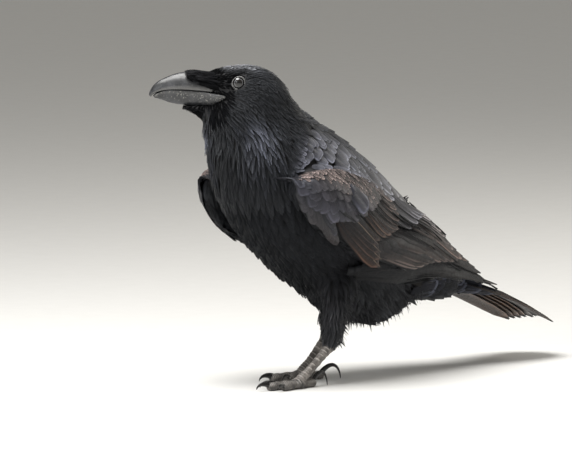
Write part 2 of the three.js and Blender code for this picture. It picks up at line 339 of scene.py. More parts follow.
def bill_material(name, fleck):
    """Slate horn with a painted highlight along its cutting edge; fleck is how speckled its side is, and
    how much fainter that highlight is.
    """
    m = Tree(name)
    fine, broad, scratches = m.noise(1500.0, 4.0), m.noise(110.0), m.noise(260.0, 5.0, (1, 1, 6))
    lift = m.attribute("lift", "Fac")
    flecks = m.noise(620.0).ramp(0.56, 0.66) * lift.band(-0.9, -0.4, 0.2, 0.7)
    # Painted highlight along the cutting edge.
    cutting_edge_highlight = lift.band(-0.35, -0.1, 0.05, 0.3) * (0.5 - fleck * 0.4)
    colour = m.mix(broad.ramp(0.3, 0.7), shade(36, 37, 39), shade(58, 59, 62))
    colour = m.mix(flecks * fleck, colour, shade(150, 148, 142))
    colour = m.mix(cutting_edge_highlight, colour, shade(120, 119, 117))
    return m.finish(
        Base_Color=colour,
        Roughness=scratches.ramp(0.3, 0.7, 0.3, 0.46),
        Normal=m.bump(fine * 0.4 + broad + scratches * 0.6 + flecks * 0.6, 0.3, 0.0003),
        Coat_Weight=0.25,
        Coat_Roughness=0.22,
    )


def scale_material(name, dark, light, plate):
    """Horny plates with pale ends and dark grooves between them, told apart by "mark"."""
    m = Tree(name)
    fine, broad = m.noise(1300.0, 4.0), m.noise(170.0)
    mark = m.attribute("mark", "Fac")
    colour = m.mix(broad.ramp(0.3, 0.7), shade(*dark), shade(*light))
    colour = m.mix(mark.ramp(0.62, 0.95) * 0.7, colour, shade(*plate))
    colour = m.mix((1 - mark.ramp(0.02, 0.16)) * 0.75, colour, shade(20, 19, 19))
    rough = fine.ramp(0.3, 0.7, 0.36, 0.55)
    return m.finish(Base_Color=colour, Roughness=rough, Normal=m.bump(fine * 0.6 + broad, 0.35, 0.0004))


def claw_material():
    m = Tree("black_claw_horn")
    fine = m.noise(1800.0)
    colour = m.mix(fine, shade(14, 14, 15), shade(34, 33, 33))
    rough = fine.ramp(0.3, 0.7, 0.2, 0.32)
    return m.finish(Base_Color=colour, Roughness=rough, Normal=m.bump(fine, 0.15, 0.0002))


def eye_material():
    """Pupil, iris and, towards the edge, a pale ring that is a painted reflection, by the attribute "ring",
    which grows outwards from 0.
    """
    m = Tree("dark_brown_eye")
    ring = m.attribute("ring", "Fac")
    fibres = m.noise(1600.0)
    iris = m.mix(fibres, shade(14, 11, 10), shade(34, 26, 22))
    colour = m.mix(ring.ramp(0.5, 0.56), (0.001, 0.001, 0.001, 1), iris)
    colour = m.mix(ring.ramp(0.74, 0.82), colour, shade(8, 7, 7))
    # Painted reflection: a pale ring of the bright surroundings.
    colour = m.mix(ring.band(0.82, 0.86, 0.9, 0.94) * 0.8, colour, shade(128, 130, 134))
    rough = fibres.ramp(0, 1, 0.12, 0.2)
    return m.finish(Base_Color=colour, Roughness=rough, Coat_Weight=0.6, Coat_Roughness=0.02)


def lid_material():
    m = Tree("grey_eyelid_skin")
    fine, patches = m.noise(2600.0), m.noise(420.0, 2.0)
    colour = m.mix(fine.ramp(0.35, 0.65), shade(70, 70, 71), shade(140, 140, 139))
    colour = m.mix(patches.ramp(0.54, 0.64), colour, shade(30, 29, 30))
    rough = fine.ramp(0.2, 0.8, 0.35, 0.5)
    return m.finish(Base_Color=colour, Roughness=rough, Normal=m.bump(fine, 0.6, 0.0003))


# ---------- camera, light and floor ----------
VIEW_AZIMUTH, VIEW_ELEVATION = math.radians(-48), math.radians(5)
CAMERA_DISTANCE = 9.0
SENSOR_WIDTH, FAR_CLIP = 36, 60
PICTURE_WIDTH = 0.6006  # metres across the picture, at the middle of the stance
PICTURE_CENTRE = (-0.0126, 0.1675)  # from the stance's middle, to the right and up
LIGHT_TARGET = Vector((0, 0, 0.2))
LAMPS = (  # name, place to the right, towards the camera and up, size, power and tint
    ("sky_panel", (-0.5, 0.7, 2.1), 1.5, 72, (1, 0.99, 0.97)),
    ("front_panel", (-1.6, 2.6, 1.2), 1.2, 14, (0.93, 0.96, 1)),
    ("rim_panel", (1.8, -1.6, 1.3), 1.0, 16, (1, 0.96, 0.88)),
)
BACKDROP, BACKDROP_STRENGTH = (0.86, 0.84, 0.79, 1), 0.36
FLOOR_RADIUS = 14


def set_camera():
    """Makes the camera, and gives the ways to its right and towards it."""
    a, e = VIEW_AZIMUTH, VIEW_ELEVATION
    right = Vector((math.cos(a), math.sin(a), 0))
    back = Vector((math.sin(a) * math.cos(e), -math.cos(a) * math.cos(e), math.sin(e)))
    up = back.cross(right)
    lens = bpy.data.cameras.new("camera")
    lens.sensor_width = SENSOR_WIDTH
    lens.lens = SENSOR_WIDTH * CAMERA_DISTANCE / PICTURE_WIDTH
    lens.clip_end = FAR_CLIP
    camera = put_in_scene("camera", lens)
    place = Vector(to_frame([0, 0, 0])) + right * PICTURE_CENTRE[0] + up * PICTURE_CENTRE[1]
    turn = Matrix((right, up, back)).transposed().to_4x4()
    camera.matrix_world = Matrix.Translation(place + back * CAMERA_DISTANCE) @ turn
    bpy.context.scene.camera = camera
    return right, back


def set_lights(right, back):
    level = Vector((back.x, back.y, 0)).normalized()
    for name, (aside, near, height), size, power, tint in LAMPS:
        light = bpy.data.lights.new(name, "AREA")
        light.shape, light.size, light.energy, light.color = "DISK", size, power, tint
        place = level * near + right * aside + Vector((0, 0, height))
        lamp = put_in_scene(name, light)
        lamp.location = place
        lamp.rotation_euler = (LIGHT_TARGET - place).to_track_quat("-Z", "Y").to_euler()
    scene = bpy.context.scene
    scene.view_settings.view_transform = "Standard"
    scene.world = scene.world or bpy.data.worlds.new("studio")
    scene.world.use_nodes = True
    backdrop = scene.world.node_tree.nodes["Background"]
    backdrop.inputs["Color"].default_value = BACKDROP
    backdrop.inputs["Strength"].default_value = BACKDROP_STRENGTH


def lay_floor():
    bm = bmesh.new()
    bmesh.ops.create_circle(bm, cap_ends=True, segments=96, radius=FLOOR_RADIUS)
    floor = put_in_scene("floor", mesh_from(bm, "floor"))
    m = Tree("pale_floor")
    colour = m.mix(m.noise(40.0, 4.0), (0.78, 0.775, 0.76, 1), (0.83, 0.825, 0.81, 1))
    floor.data.materials.append(m.finish(Base_Color=colour, Roughness=0.7))


# ---------- the lie of the coat ----------
# Each guide says, at a place on the body, which way the feathers lie and what they are like there:
# (place, way, length, width, spacing, depth of the coat, point of the tip, strength of the painted rim
# highlight and edge shadow, shade).
GUIDES = []
# The last tone is the hackles' pale grey, which is painted sheen.
INK, SLATE, HACKLE_SHEEN_GREY = (5, 5, 5), (34, 35, 38), (72, 74, 81)


def add_guide(place, way, details):
    *numbers, tone = details
    GUIDES.append((place, way, (*numbers, *tone)))


def guide(place, way, *details, both=True):
    for s in (1, -1) if both else (1,):
        flip = np.array([1, s, 1])
        add_guide(np.array(place) * flip, unit(np.array(way, float)) * flip, details)


def head_guide(place, way, *details):
    forward, rise, left = place
    for s in (1, -1):
        add_guide(in_head(forward, rise, left * s), unit(head_way(*way)), details)


head_guide((54, 6, 6), (1, -0.05), 6, 1.2, 1.5, 1.0, 1, 0, INK)  # under the nasal bristles
head_guide((44, 4, 9), (1, -0.1), 8, 1.3, 1.5, 1.2, 1, 0, INK)
head_guide((31, 7, 9), (1, -0.1), 8, 1.4, 1.5, 1.4, 1, 0, INK)
head_guide((31, -6, 12), (0.9, -0.3), 8, 1.4, 1.5, 1.4, 1, 0, INK)
head_guide((27, 13, 5), (-0.7, 0.5), 5, 1.8, 1.5, 1.6, 0.9, 0.1, (16, 16, 17))  # forehead
head_guide((14, 18, 5), (-1, 0.05), 5, 2.2, 1.6, 1.8, 0.8, 1, (118, 119, 122))  # crown, toned pale as painted sheen of the light from above
head_guide((0, 21, 8), (-1, -0.05), 5.5, 2.3, 1.7, 2.0, 0.8, 1, (122, 123, 126))
head_guide((-14, 19, 8), (-1, -0.25), 6, 2.4, 1.8, 2.2, 0.8, 0.7, (96, 97, 100))
head_guide((-26, 12, 10), (-1, -0.45), 7, 2.4, 1.8, 2.4, 0.9, 0.4, SLATE)
head_guide((22, 4, 14), (-1, 0.15), 5, 1.5, 1.4, 1.2, 1, 0, INK)  # lores
head_guide((12, 2, 17), (-1, 0.1), 5, 1.5, 1.4, 1.2, 1, 0, INK)
head_guide((9, -10, 19), (-0.8, -0.4), 5, 1.6, 1.4, 1.2, 1, 0, (20, 20, 21))
head_guide((0, 9, 19), (-1, 0.1), 4, 1.6, 1.3, 1.0, 0.9, 0.2, (20, 20, 21))  # round the eye
head_guide((0, -10, 20), (-1, -0.4), 4, 1.6, 1.3, 1.0, 0.9, 0, (32, 33, 35))
head_guide((-12, 4, 25), (-0.98, -0.2), 6, 2.2, 1.7, 1.8, 0.9, 0.1, (29, 30, 32))  # cheek
head_guide((-18, -8, 26), (-0.9, -0.45), 6.5, 2.2, 1.7, 2.0, 0.9, 0.1, (28, 29, 31))
head_guide((-6, -20, 25), (-0.75, -0.65), 7, 2.1, 1.7, 2.0, 0.9, 0.1, (31, 32, 34))
head_guide((18, -17, 15), (-0.6, -0.7), 7, 1.8, 1.6, 1.4, 1, 0, INK)  # jaw
head_guide((8, -26, 19), (-0.7, -0.7), 9, 2.0, 1.8, 1.8, 1, 0.1, (24, 25, 27))
head_guide((50, -28, 4), (0.85, -0.5), 6, 1.0, 1.5, 0.8, 1, 0, INK)  # chin
head_guide((40, -33, 4), (0.15, -0.95), 9, 1.5, 1.8, 1.2, 1, 0.2, (20, 20, 21))
head_guide((24, -36, 17), (-0.35, -0.9), 16, 2.4, 2.3, 2.6, 1, 0.2, (13, 14, 16))
head_guide((6, -38, 24), (-0.62, -0.75), 17, 3.0, 3.0, 3.4, 1, 0.6, (28, 29, 33))
# The hackles' pale tone here is painted sheen.
head_guide((-14, -42, 32), (-0.6, -0.8), 17, 3.3, 3.2, 3.6, 1, 1, (74, 76, 84))
head_guide((-30, -26, 30), (-0.65, -0.75), 9, 2.0, 1.9, 2.4, 1, 0.05, (27, 28, 30))
head_guide((-40, -6, 16), (-0.7, -0.7), 9, 1.9, 1.8, 2.4, 1, 0.1, (32, 33, 35))  # nape
head_guide((-52, -22, 8), (-0.6, -0.8), 10, 1.9, 1.9, 2.6, 1, 0.1, (34, 35, 37))
guide((-124, 0, 262), (0.0, 0, -1), 22, 3.4, 3.0, 4, 1, 0.3, (12, 13, 14))  # throat
guide((-122, 0, 238), (0.05, 0, -1), 28, 4.2, 3.6, 4.5, 1, 0.35, (14, 15, 17))
guide((-112, 28, 282), (0.12, 0, -1), 20, 3.6, 3.4, 4.4, 1, 1.0, (78, 80, 88))  # hackles, whose pale tones are painted sheen
guide((-108, 34, 246), (0.16, 0, -1), 24, 4.4, 4.2, 4.8, 0.95, 0.35, (38, 39, 44))
guide((-104, 38, 222), (0.2, 0, -0.97), 26, 6, 4.6, 5, 0.8, 0.1, (20, 21, 24))
guide((-88, 48, 232), (0.3, 0, -0.95), 24, 6, 4.6, 5, 0.8, 0.15, (23, 24, 27))
guide((-98, 40, 272), (0.26, 0, -0.95), 18, 4.0, 3.7, 4.6, 0.95, 1.0, (94, 97, 107))
guide((-84, 46, 262), (0.36, 0, -0.93), 16, 4.2, 3.9, 4.6, 0.9, 0.9, HACKLE_SHEEN_GREY)
guide((-70, 48, 262), (0.45, 0, -0.88), 13, 2.6, 2.4, 3.5, 1, 0.1, (28, 29, 31))
guide((-52, 34, 284), (0.6, 0, -0.78), 10, 2.0, 1.9, 3, 1, 0.05, (30, 31, 33))  # side of the neck
guide((-40, 15, 302), (0.62, 0, -0.75), 10, 1.9, 1.9, 3, 1, 0.05, (33, 34, 36))
guide((-113, 0, 212), (0.2, 0, -0.97), 27, 7, 4.6, 5, 0.8, 0.1, (19, 20, 22))  # breast
guide((-92, 46, 212), (0.35, 0, -0.93), 26, 8, 4.8, 5, 0.6, 0.15, (28, 29, 31))
guide((-70, 56, 185), (0.45, 0, -0.88), 27, 10, 5.4, 5.5, 0.5, 0.05, (24, 25, 27))
guide((-84, 0, 165), (0.45, 0, -0.88), 28, 9, 5.0, 6, 0.7, 0.05, (22, 23, 25))
guide((-45, 52, 150), (0.6, 0, -0.8), 28, 11, 5.6, 6, 0.5, 0.1, (22, 23, 25))
guide((-40, 0, 125), (0.75, 0, -0.65), 30, 9, 5.0, 6.5, 0.8, 0.15, (17, 18, 19))
guide((10, 55, 130), (0.8, 0, -0.6), 30, 10, 5.4, 6.5, 0.6, 0.1, (26, 26, 28))
guide((20, 0, 100), (0.9, 0, -0.4), 32, 8, 5, 7, 0.9, 0.1, (27, 28, 30))  # belly
guide((60, 50, 110), (0.7, 0, -0.7), 32, 10, 5.4, 7, 0.7, 0.1, (36, 37, 39))
guide((100, 36, 80), (0.75, 0, -0.65), 34, 7, 4.8, 8, 0.9, 0.1, (46, 47, 49))  # flank and vent
guide((92, 0, 52), (0.9, 0, -0.35), 32, 6, 4.6, 8, 1, 0.1, (34, 35, 37))
guide((128, 0, 62), (0.85, 0, 0.1), 30, 6, 4.6, 4, 1, 0.1, (24, 25, 27))
guide((170, 14, 88), (1, 0, -0.1), 38, 18, 9, 5, 0.1, 0.7, (21, 22, 25))  # under the tail
guide((230, 8, 76), (0.93, 0, -0.36), 34, 18, 9, 3, 0.1, 0.5, (30, 31, 34))
guide((-22, 18, 296), (0.7, 0.05, -0.7), 9, 2.6, 2.2, 3, 0.9, 0.1, (38, 39, 42))  # mantle
guide((-8, 0, 286), (0.75, 0, -0.65), 10, 2.8, 2.4, 3, 0.9, 0.1, (40, 41, 44))
guide((20, 0, 266), (0.78, 0, -0.62), 14, 4.5, 3.4, 3.4, 0.7, 0.2, (46, 47, 51))
guide((-10, 26, 286), (0.68, 0.2, -0.7), 11, 4.0, 3.0, 3.2, 0.6, 0.4, (50, 51, 55))
guide((-48, 52, 250), (0.7, 0.15, -0.68), 9, 5.0, 3.6, 3.0, 0.1, 0.6, (86, 87, 95))  # scapulars; on them and along the back behind them, the pale tones are painted sheen of the light from above
guide((-26, 52, 258), (0.68, 0.2, -0.7), 11, 6.0, 4.2, 3.2, 0.1, 0.6, (100, 101, 110))
guide((-4, 50, 256), (0.62, 0.3, -0.72), 13, 7.5, 5.0, 3.6, 0.2, 0.65, (104, 105, 112))
guide((28, 48, 238), (0.62, 0.25, -0.74), 20, 9.5, 6.4, 4, 0.45, 0.8, (92, 93, 99))
guide((58, 44, 222), (0.66, 0.2, -0.72), 28, 12, 8, 4.5, 0.5, 0.85, (94, 94, 98))
guide((92, 34, 200), (0.75, 0.1, -0.65), 34, 15, 9.5, 4.5, 0.35, 0.9, (104, 103, 104))
guide((56, 0, 240), (0.85, 0, -0.5), 22, 11, 7, 4.5, 0.2, 0.8, (66, 67, 71))
guide((110, 0, 200), (0.9, 0, -0.45), 32, 16, 9.5, 4.5, 0.25, 0.8, (98, 98, 101))
guide((180, 0, 150), (0.92, 0, -0.4), 34, 16, 10, 3.5, 0.25, 0.5, (70, 69, 70))
guide((240, 0, 108), (0.93, 0, -0.38), 34, 16, 10, 2.5, 0.15, 0.5, (56, 54, 53))
for side in SIDES:
    ankle = np.array([side * STRIDE + ANKLE[side][0], side * (STANCE + ANKLE[side][1]), ANKLE[side][2]])
    for (dx, dy, dz), way, length in (
        ((12, 13, 42), (0, 0, -1), 20),
        ((-8, 0, 42), (-0.05, 0, -1), 18),
        ((8, -10, 30), (0.05, 0, -1), 18),
        ((4, 10, 12), (-0.1, 0, -1), 12),
        ((-8, -6, 8), (-0.25, 0, -1), 9),
        ((24, 4, 34), (-0.1, 0, -1), 15),
        ((17, 2, 14), (-0.3, 0, -1), 9),
        ((8, 8, 2), (-0.4, 0, -1), 6),
    ):
        spot = ankle + np.array([dx, dy * side, dz])
        guide(spot, way, length, 3.0, 2.6, 3.0, 1, 0.05, (60, 60, 62), both=False)

GUIDE_PLACES, GUIDE_WAYS, GUIDE_DETAILS = (np.array([g[k] for g in GUIDES], float) for k in range(3))
LENGTH, WIDTH, SPACING, DEPTH, POINT, RIM, TONE = range(7)
BLEND_CORE, BLEND_FALL = 20, 2.5  # how wide a guide's own place is, and how fast it gives way to others


def coat_at(points):
    """The way the coat lies and its details at each point, blended from the nearest guides."""
    far = np.linalg.norm(points[:, None, :] - GUIDE_PLACES[None], axis=2)
    weight = 1 / (far**2 + BLEND_CORE) ** BLEND_FALL
    weight /= weight.sum(axis=1, keepdims=True)
    return weight @ GUIDE_WAYS, weight @ GUIDE_DETAILS


# ---------- the skin ----------
# Where the coat lies flatter than the solids, or fuller: (place, reach, how far in).
FLATTER = [
    (in_head(-41, 8), 11, 0.2), (in_head(-50, 0), 10, 1.4), (in_head(-40, 6, 14), 11, 0.4),
    (in_head(-40, 6, -14), 11, 0.4), (in_head(-49, -3, 13), 10, 0.8), (in_head(-49, -3, -13), 10, 0.8),
    (in_head(-60, -19), 9, -1.8), (in_head(-60, -21, 13), 10, -1.2), (in_head(-60, -21, -13), 10, -1.2),
    (np.array([-20.0, -30, 289]), 15, 3.0), (np.array([-14.0, 0, 292]), 17, 2.6),
    (np.array([-20.0, 30, 289]), 15, 3.0),
]
BODY_NODES = ["head", "neck", "trunk", "thigh_left", "thigh_right"]
WING_NODES = ["wing_left", "wing_right"]
FLESH = BODY_NODES + WING_NODES
WING_CUT = 128.0  # behind this the wing is only feathers
WELD, GROWTH = 2e-5, 0.0004  # metres; the growth makes neighbours run together
VOXEL = 0.0024
WING_COAT = 2.6  # the coat's depth over the wings
SINK = 0.4  # how far below the coat's own depth the skin lies


def flesh_copy(name):
    """A merged copy of a CAD node, grown a little so that neighbours run together."""
    bm = bmesh.new()
    bm.from_mesh(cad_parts[name].data)
    bmesh.ops.remove_doubles(bm, verts=bm.verts, dist=WELD)
    if name in WING_NODES:
        cut = to_frame([WING_CUT, 0, 0])
        everything = bm.verts[:] + bm.edges[:] + bm.faces[:]
        bmesh.ops.bisect_plane(bm, geom=everything, plane_co=cut, plane_no=(1, 0, 0), clear_outer=True)
        bmesh.ops.holes_fill(bm, edges=[e for e in bm.edges if e.is_boundary])
    bm.normal_update()
    for v in bm.verts:
        v.co += v.normal * GROWTH
    return mesh_from(bm, name + "_copy")


def soften(bm, times):
    for _ in range(times):
        bmesh.ops.smooth_vert(
            bm, verts=bm.verts, factor=0.5, use_axis_x=True, use_axis_y=True, use_axis_z=True
        )


def joined_flesh():
    """The flesh as one closed mesh, ready to be sunk below the coat."""
    bm = bmesh.new()
    for name in FLESH:
        copy = flesh_copy(name)
        bm.from_mesh(copy)
        bpy.data.meshes.remove(copy)
    shell = put_in_scene("joined_flesh", mesh_from(bm, "joined_flesh"))
    remesh = shell.modifiers.new("remesh", "REMESH")
    remesh.mode, remesh.voxel_size = "VOXEL", VOXEL
    bpy.context.view_layer.update()
    evaluated = shell.evaluated_get(bpy.context.evaluated_depsgraph_get())
    bm = bmesh.new()
    bm.from_mesh(evaluated.to_mesh())
    bpy.data.objects.remove(shell)
    soften(bm, 6)
    bm.normal_update()
    return bm


def make_skin():
    bm = joined_flesh()
    places = from_frame([v.co for v in bm.verts])
    depth = np.where(wing_gap(places) > 0, WING_COAT, coat_at(places)[1][:, DEPTH])
    for spot, reach, sink in FLATTER:
        depth = depth + sink * np.exp(-((np.linalg.norm(places - spot, axis=1) / reach) ** 2))
    normals = np.array([v.normal for v in bm.verts])
    for v, p, n, d in zip(bm.verts, places, normals, depth):
        v.co = to_frame(p - n * (d + SINK))
    soften(bm, 3)
    bmesh.ops.triangulate(bm, faces=bm.faces)
    skin = keep(bm, "skin", skin_material(), "plumage", *FLESH)
    skin.data.uv_layers.new(name="OFBake")
    bpy.context.view_layer.objects.active = skin
    skin.select_set(True)
    bpy.ops.object.mode_set(mode="EDIT")
    bpy.ops.mesh.select_all(action="SELECT")
    bpy.ops.uv.smart_project(angle_limit=math.radians(66), island_margin=0.001)
    bpy.ops.object.mode_set(mode="OBJECT")
    return skin


# ---------- feathers ----------
def read(items, key, size, kind=float):
    """One property of a mesh's points, faces or corners, a row for each."""
    values = np.zeros(len(items) * size, kind)
    items.foreach_get(key, values)
    return values.reshape(-1, size)


class Surface:
    """The skin as arrays, in millimetres."""

    def __init__(self, skin):
        mesh = skin.data
        self.verts = from_frame(read(mesh.vertices, "co", 3))
        self.normals = read(mesh.vertices, "normal", 3)
        self.faces = read(mesh.polygons, "vertices", 3, int)
        self.uv = read(mesh.uv_layers["OFBake"].data, "uv", 2).reshape(-1, 3, 2)
        self.tree = BVHTree.FromPolygons(self.verts.tolist(), self.faces.tolist())
        a, b, c = (self.verts[self.faces[:, k]] for k in range(3))
        self.areas = np.linalg.norm(np.cross(b - a, c - a), axis=1) / 2

    def scatter(self, count):
        """Random points on the skin, with their normals and unwrapped places."""
        face = dice.choice(len(self.faces), count, p=self.areas / self.areas.sum())
        weights = dice.dirichlet((1, 1, 1), count)[:, :, None]
        corners = self.faces[face]
        points = (self.verts[corners] * weights).sum(axis=1)
        normals = unit((self.normals[corners] * weights).sum(axis=1))
        return points, normals, (self.uv[face] * weights).sum(axis=1)

    def find(self, points):
        """The closest place on the skin to each point, and the number of its face."""
        found = [self.tree.find_nearest(p) for p in points.tolist()]
        return np.array([f[0] for f in found]), np.array([f[2] for f in found])

    def root(self, points):
        """The place on the skin under each point, its normal and its unwrapped place."""
        places, face = self.find(points)
        return places, self.normals[self.faces[face]].mean(axis=1), self.uv[face].mean(axis=1)

    def nearest(self, points):
        """The closest place on the skin to each point, and the smooth normal there."""
        places, face = self.find(points)
        corners = self.verts[self.faces[face]]
        near = 1 / (np.linalg.norm(corners - places[:, None], axis=2) + 0.2)
        near /= near.sum(axis=1, keepdims=True)
        return places, unit((self.normals[self.faces[face]] * near[:, :, None]).sum(axis=1))


def solid_tree(names):
    """The surfaces of CAD nodes as one search tree, in millimetres."""
    verts, faces = [], []
    for name in names:
        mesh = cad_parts[name].data
        start = len(verts)
        verts += from_frame([v.co for v in mesh.vertices]).tolist()
        faces += [[start + i for i in p.vertices] for p in mesh.polygons]
    return BVHTree.FromPolygons(verts, faces)


def distance_to(names, points):
    tree = solid_tree(names)
    return np.array([tree.find_nearest(p)[3] for p in points.tolist()])


def wing_gap(points):
    """How much nearer each point is to a wing than to the rest of the body."""
    return distance_to(BODY_NODES, points) - distance_to(WING_NODES, points)


def outside(names, points):
    """How far outside the named solids each point is, or, below 0, how far inside."""
    found = []
    for name in names:
        tree = solid_tree([name])
        hits = [tree.find_nearest(p) for p in points.tolist()]
        gap = points - np.array([h[0] for h in hits])
        side = (gap * np.array([h[1] for h in hits])).sum(axis=1)
        found.append(np.linalg.norm(gap, axis=1) * np.sign(side))
    return np.min(found, axis=0)


def spaced(points, spacing):
    """Thins random points until each is clear of its neighbours by its own spacing."""
    tree = KDTree(len(points))
    for i, p in enumerate(points):
        tree.insert(p, i)
    tree.balance()
    alive = np.ones(len(points), bool)
    kept = []
    for i in range(len(points)):
        if alive[i]:
            kept.append(i)
            for _, j, _ in tree.find_range(points[i], spacing[i]):
                alive[j] = False
    return np.array(kept)


ROWS = np.array([0.0, 0.3, 0.55, 0.76, 0.9, 1.0])  # where a vane's rows of points lie, from root to tip


ROOT_END, ROUND_FROM, LANCE_FROM = 0.18, 0.72, 0.2  # shares of a vane's length


def vane_profile(s, point):
    """Half width along a vane: round-ended where point is 0, a lance tip where it is 1."""
    base = np.clip(s / ROOT_END, 0.25, 1) ** 0.6
    blunt = np.sqrt(np.clip(1 - np.clip((s - ROUND_FROM) / (1 - ROUND_FROM), 0, 1) ** 2.2, 0.004, 1))
    lance = np.clip(1 - np.clip((s - LANCE_FROM) / (1 - LANCE_FROM), 0, 1) ** 1.5, 0.03, 1)
    return base * (blunt * (1 - point) + lance * point)


def add_vanes(name, grid, tints, roots, material, slot, *nodes, patch=0.003):
    """One mesh of many vanes. The grid holds each vane's points, row by row from root to tip, and roots
    the place of each vane's own patch on the unwrap."""
    count, rows, columns, _ = grid.shape
    faces = []
    for r in range(rows - 1):
        for c in range(columns - 1):
            a = r * columns + c
            faces.append((a, a + 1, a + 1 + columns, a + columns))
    faces = np.array(faces)
    starts = np.arange(count)[:, None, None] * rows * columns
    quads = (faces[None] + starts).reshape(-1, 4)
    mesh = bpy.data.meshes.new(name)
    mesh.from_pydata(to_frame(grid.reshape(-1, 3)).tolist(), [], quads.tolist())
    v, u = np.meshgrid(ROWS, np.linspace(0, 1, columns), indexing="ij")
    on_vane = np.stack([u, v], axis=-1).reshape(-1, 2)
    corner = faces.reshape(-1)
    vane_uv = np.tile(on_vane[corner], (count, 1))
    mesh.uv_layers.new(name="OFBake").data.foreach_set(
        "uv", (roots[:, None, :] + (on_vane[corner] - 0.5)[None] * patch).reshape(-1)
    )
    mesh.uv_layers.new(name="Vane").data.foreach_set("uv", vane_uv.reshape(-1))
    colours = np.repeat(tints, rows * columns, axis=0)
    mesh.color_attributes.new("tint", "FLOAT_COLOR", "POINT").data.foreach_set("color", colours.reshape(-1))
    return dress(mesh, name, material, slot, *nodes)


def linear(tones):
    return (np.clip(tones, 0, 255) / 255) ** 2.2


def body_vanes(surface, points, normals, details, columns=3, jitter=0.12, hump=0.15):
    """Vane grids that start in the skin, follow the way of the coat over it and end at its surface."""
    count = len(points)
    length = details[:, LENGTH] * dice.uniform(0.88, 1.12, count)
    width = details[:, WIDTH] * dice.uniform(0.9, 1.1, count)
    swing = dice.normal(0, jitter, count) * (0.4 + 0.6 * details[:, POINT])
    rise = dice.uniform(0.93, 1.07, count) + dice.uniform(-0.2, 0.2, count) * details[:, POINT]
    place, normal = points.copy(), normals.copy()
    grid = np.zeros((count, len(ROWS), columns, 3))
    before = 0.0
    for r, s in enumerate(ROWS):
        way, _ = coat_at(place)
        along = unit(way - normal * (way * normal).sum(axis=1, keepdims=True))
        across = np.cross(normal, along)
        along = unit(along + across * swing[:, None])
        if r:
            place, normal = surface.nearest(place + along * (length * (s - before))[:, None])
            across = unit(np.cross(normal, along))
        before = s
        half = width / 2 * vane_profile(np.full(count, s), details[:, POINT])
        height = details[:, DEPTH] * rise * (0.1 + 0.95 * s**0.8)
        for c in range(columns):
            w = 2 * c / (columns - 1) - 1
            camber = width * hump * (1 - w * w)
            grid[:, r, c] = place + across * (half * w)[:, None] + normal * (height + camber)[:, None]
    return grid


def coat_tints(details):
    count = len(details)
    spread = 0.14 + 0.2 * details[:, POINT:POINT + 1]
    tone = linear(details[:, TONE:TONE + 3]) * np.exp(dice.normal(0, 1, (count, 1)) * spread)
    return np.hstack([tone, details[:, RIM:RIM + 1] * dice.uniform(0.6, 1.1, (count, 1))])


MANTLE_FRONT, MANTLE_DELAY, SHOULDER_HALF_WIDTH = -58, 96, 52


def mantle_start(y):
    """How far back the scale-like feathers begin: later along the spine than over the shoulders."""
    return MANTLE_FRONT + MANTLE_DELAY * np.clip(1 - np.abs(y) / SHOULDER_HALF_WIDTH, 0, 1)


CONTOUR_PLACES = 170000  # random places, which the guides' spacing thins
TAIL_START, FOOT_TOP, LEG_TOP = 205, 12, 78
NECK_FLOOR, HEAD_FLOOR, HEAD_BACK = 205, 285, -60
WING_HOLD, WING_BACK = 5, 138  # how near a wing, and how far back, it hides the body
EYE_RIM, EYE_CLEARING = 19, 7.0  # where each eye opens, and how far round it is bare
BILL_FRONT, BILL_CLEARING = 8, 0.6
THINNER_BY_WINGS = ((-4, 3.0), (0, 1.4))  # (nearness to a wing, depth of the coat there at most)
OUTWARD_UNDER_WING, LOINS = 0.3, 60  # ahead of the loins, only what faces outwards lies under a wing
UPWARD, UPWARD_BY_TAIL, TAIL_BASE = -0.05, 0.3, 120  # how far up the back faces, and where that changes
BACK_HEIGHT, BACK_SLOPE = 150, 0.35
DARK_FACE = 23  # head feathers below this shade are velvet
LEG_SIDE, LEG_WIDTH = 14, 5  # leg feathers are further out than this, and narrower


def under_rows(points, normals, gap):
    """Where the folded wings or the rows of the back hide the body."""
    x, y, z = points.T
    outward = normals[:, 1] * np.sign(y)
    by_wing = (gap > WING_HOLD) & ((outward > OUTWARD_UNDER_WING) | (x > LOINS)) & (x < WING_BACK)
    upward = np.where(x > TAIL_BASE, UPWARD_BY_TAIL, UPWARD)
    back = (normals[:, 2] > upward) & (z > BACK_HEIGHT - BACK_SLOPE * x)
    return by_wing | back & (x > mantle_start(y))


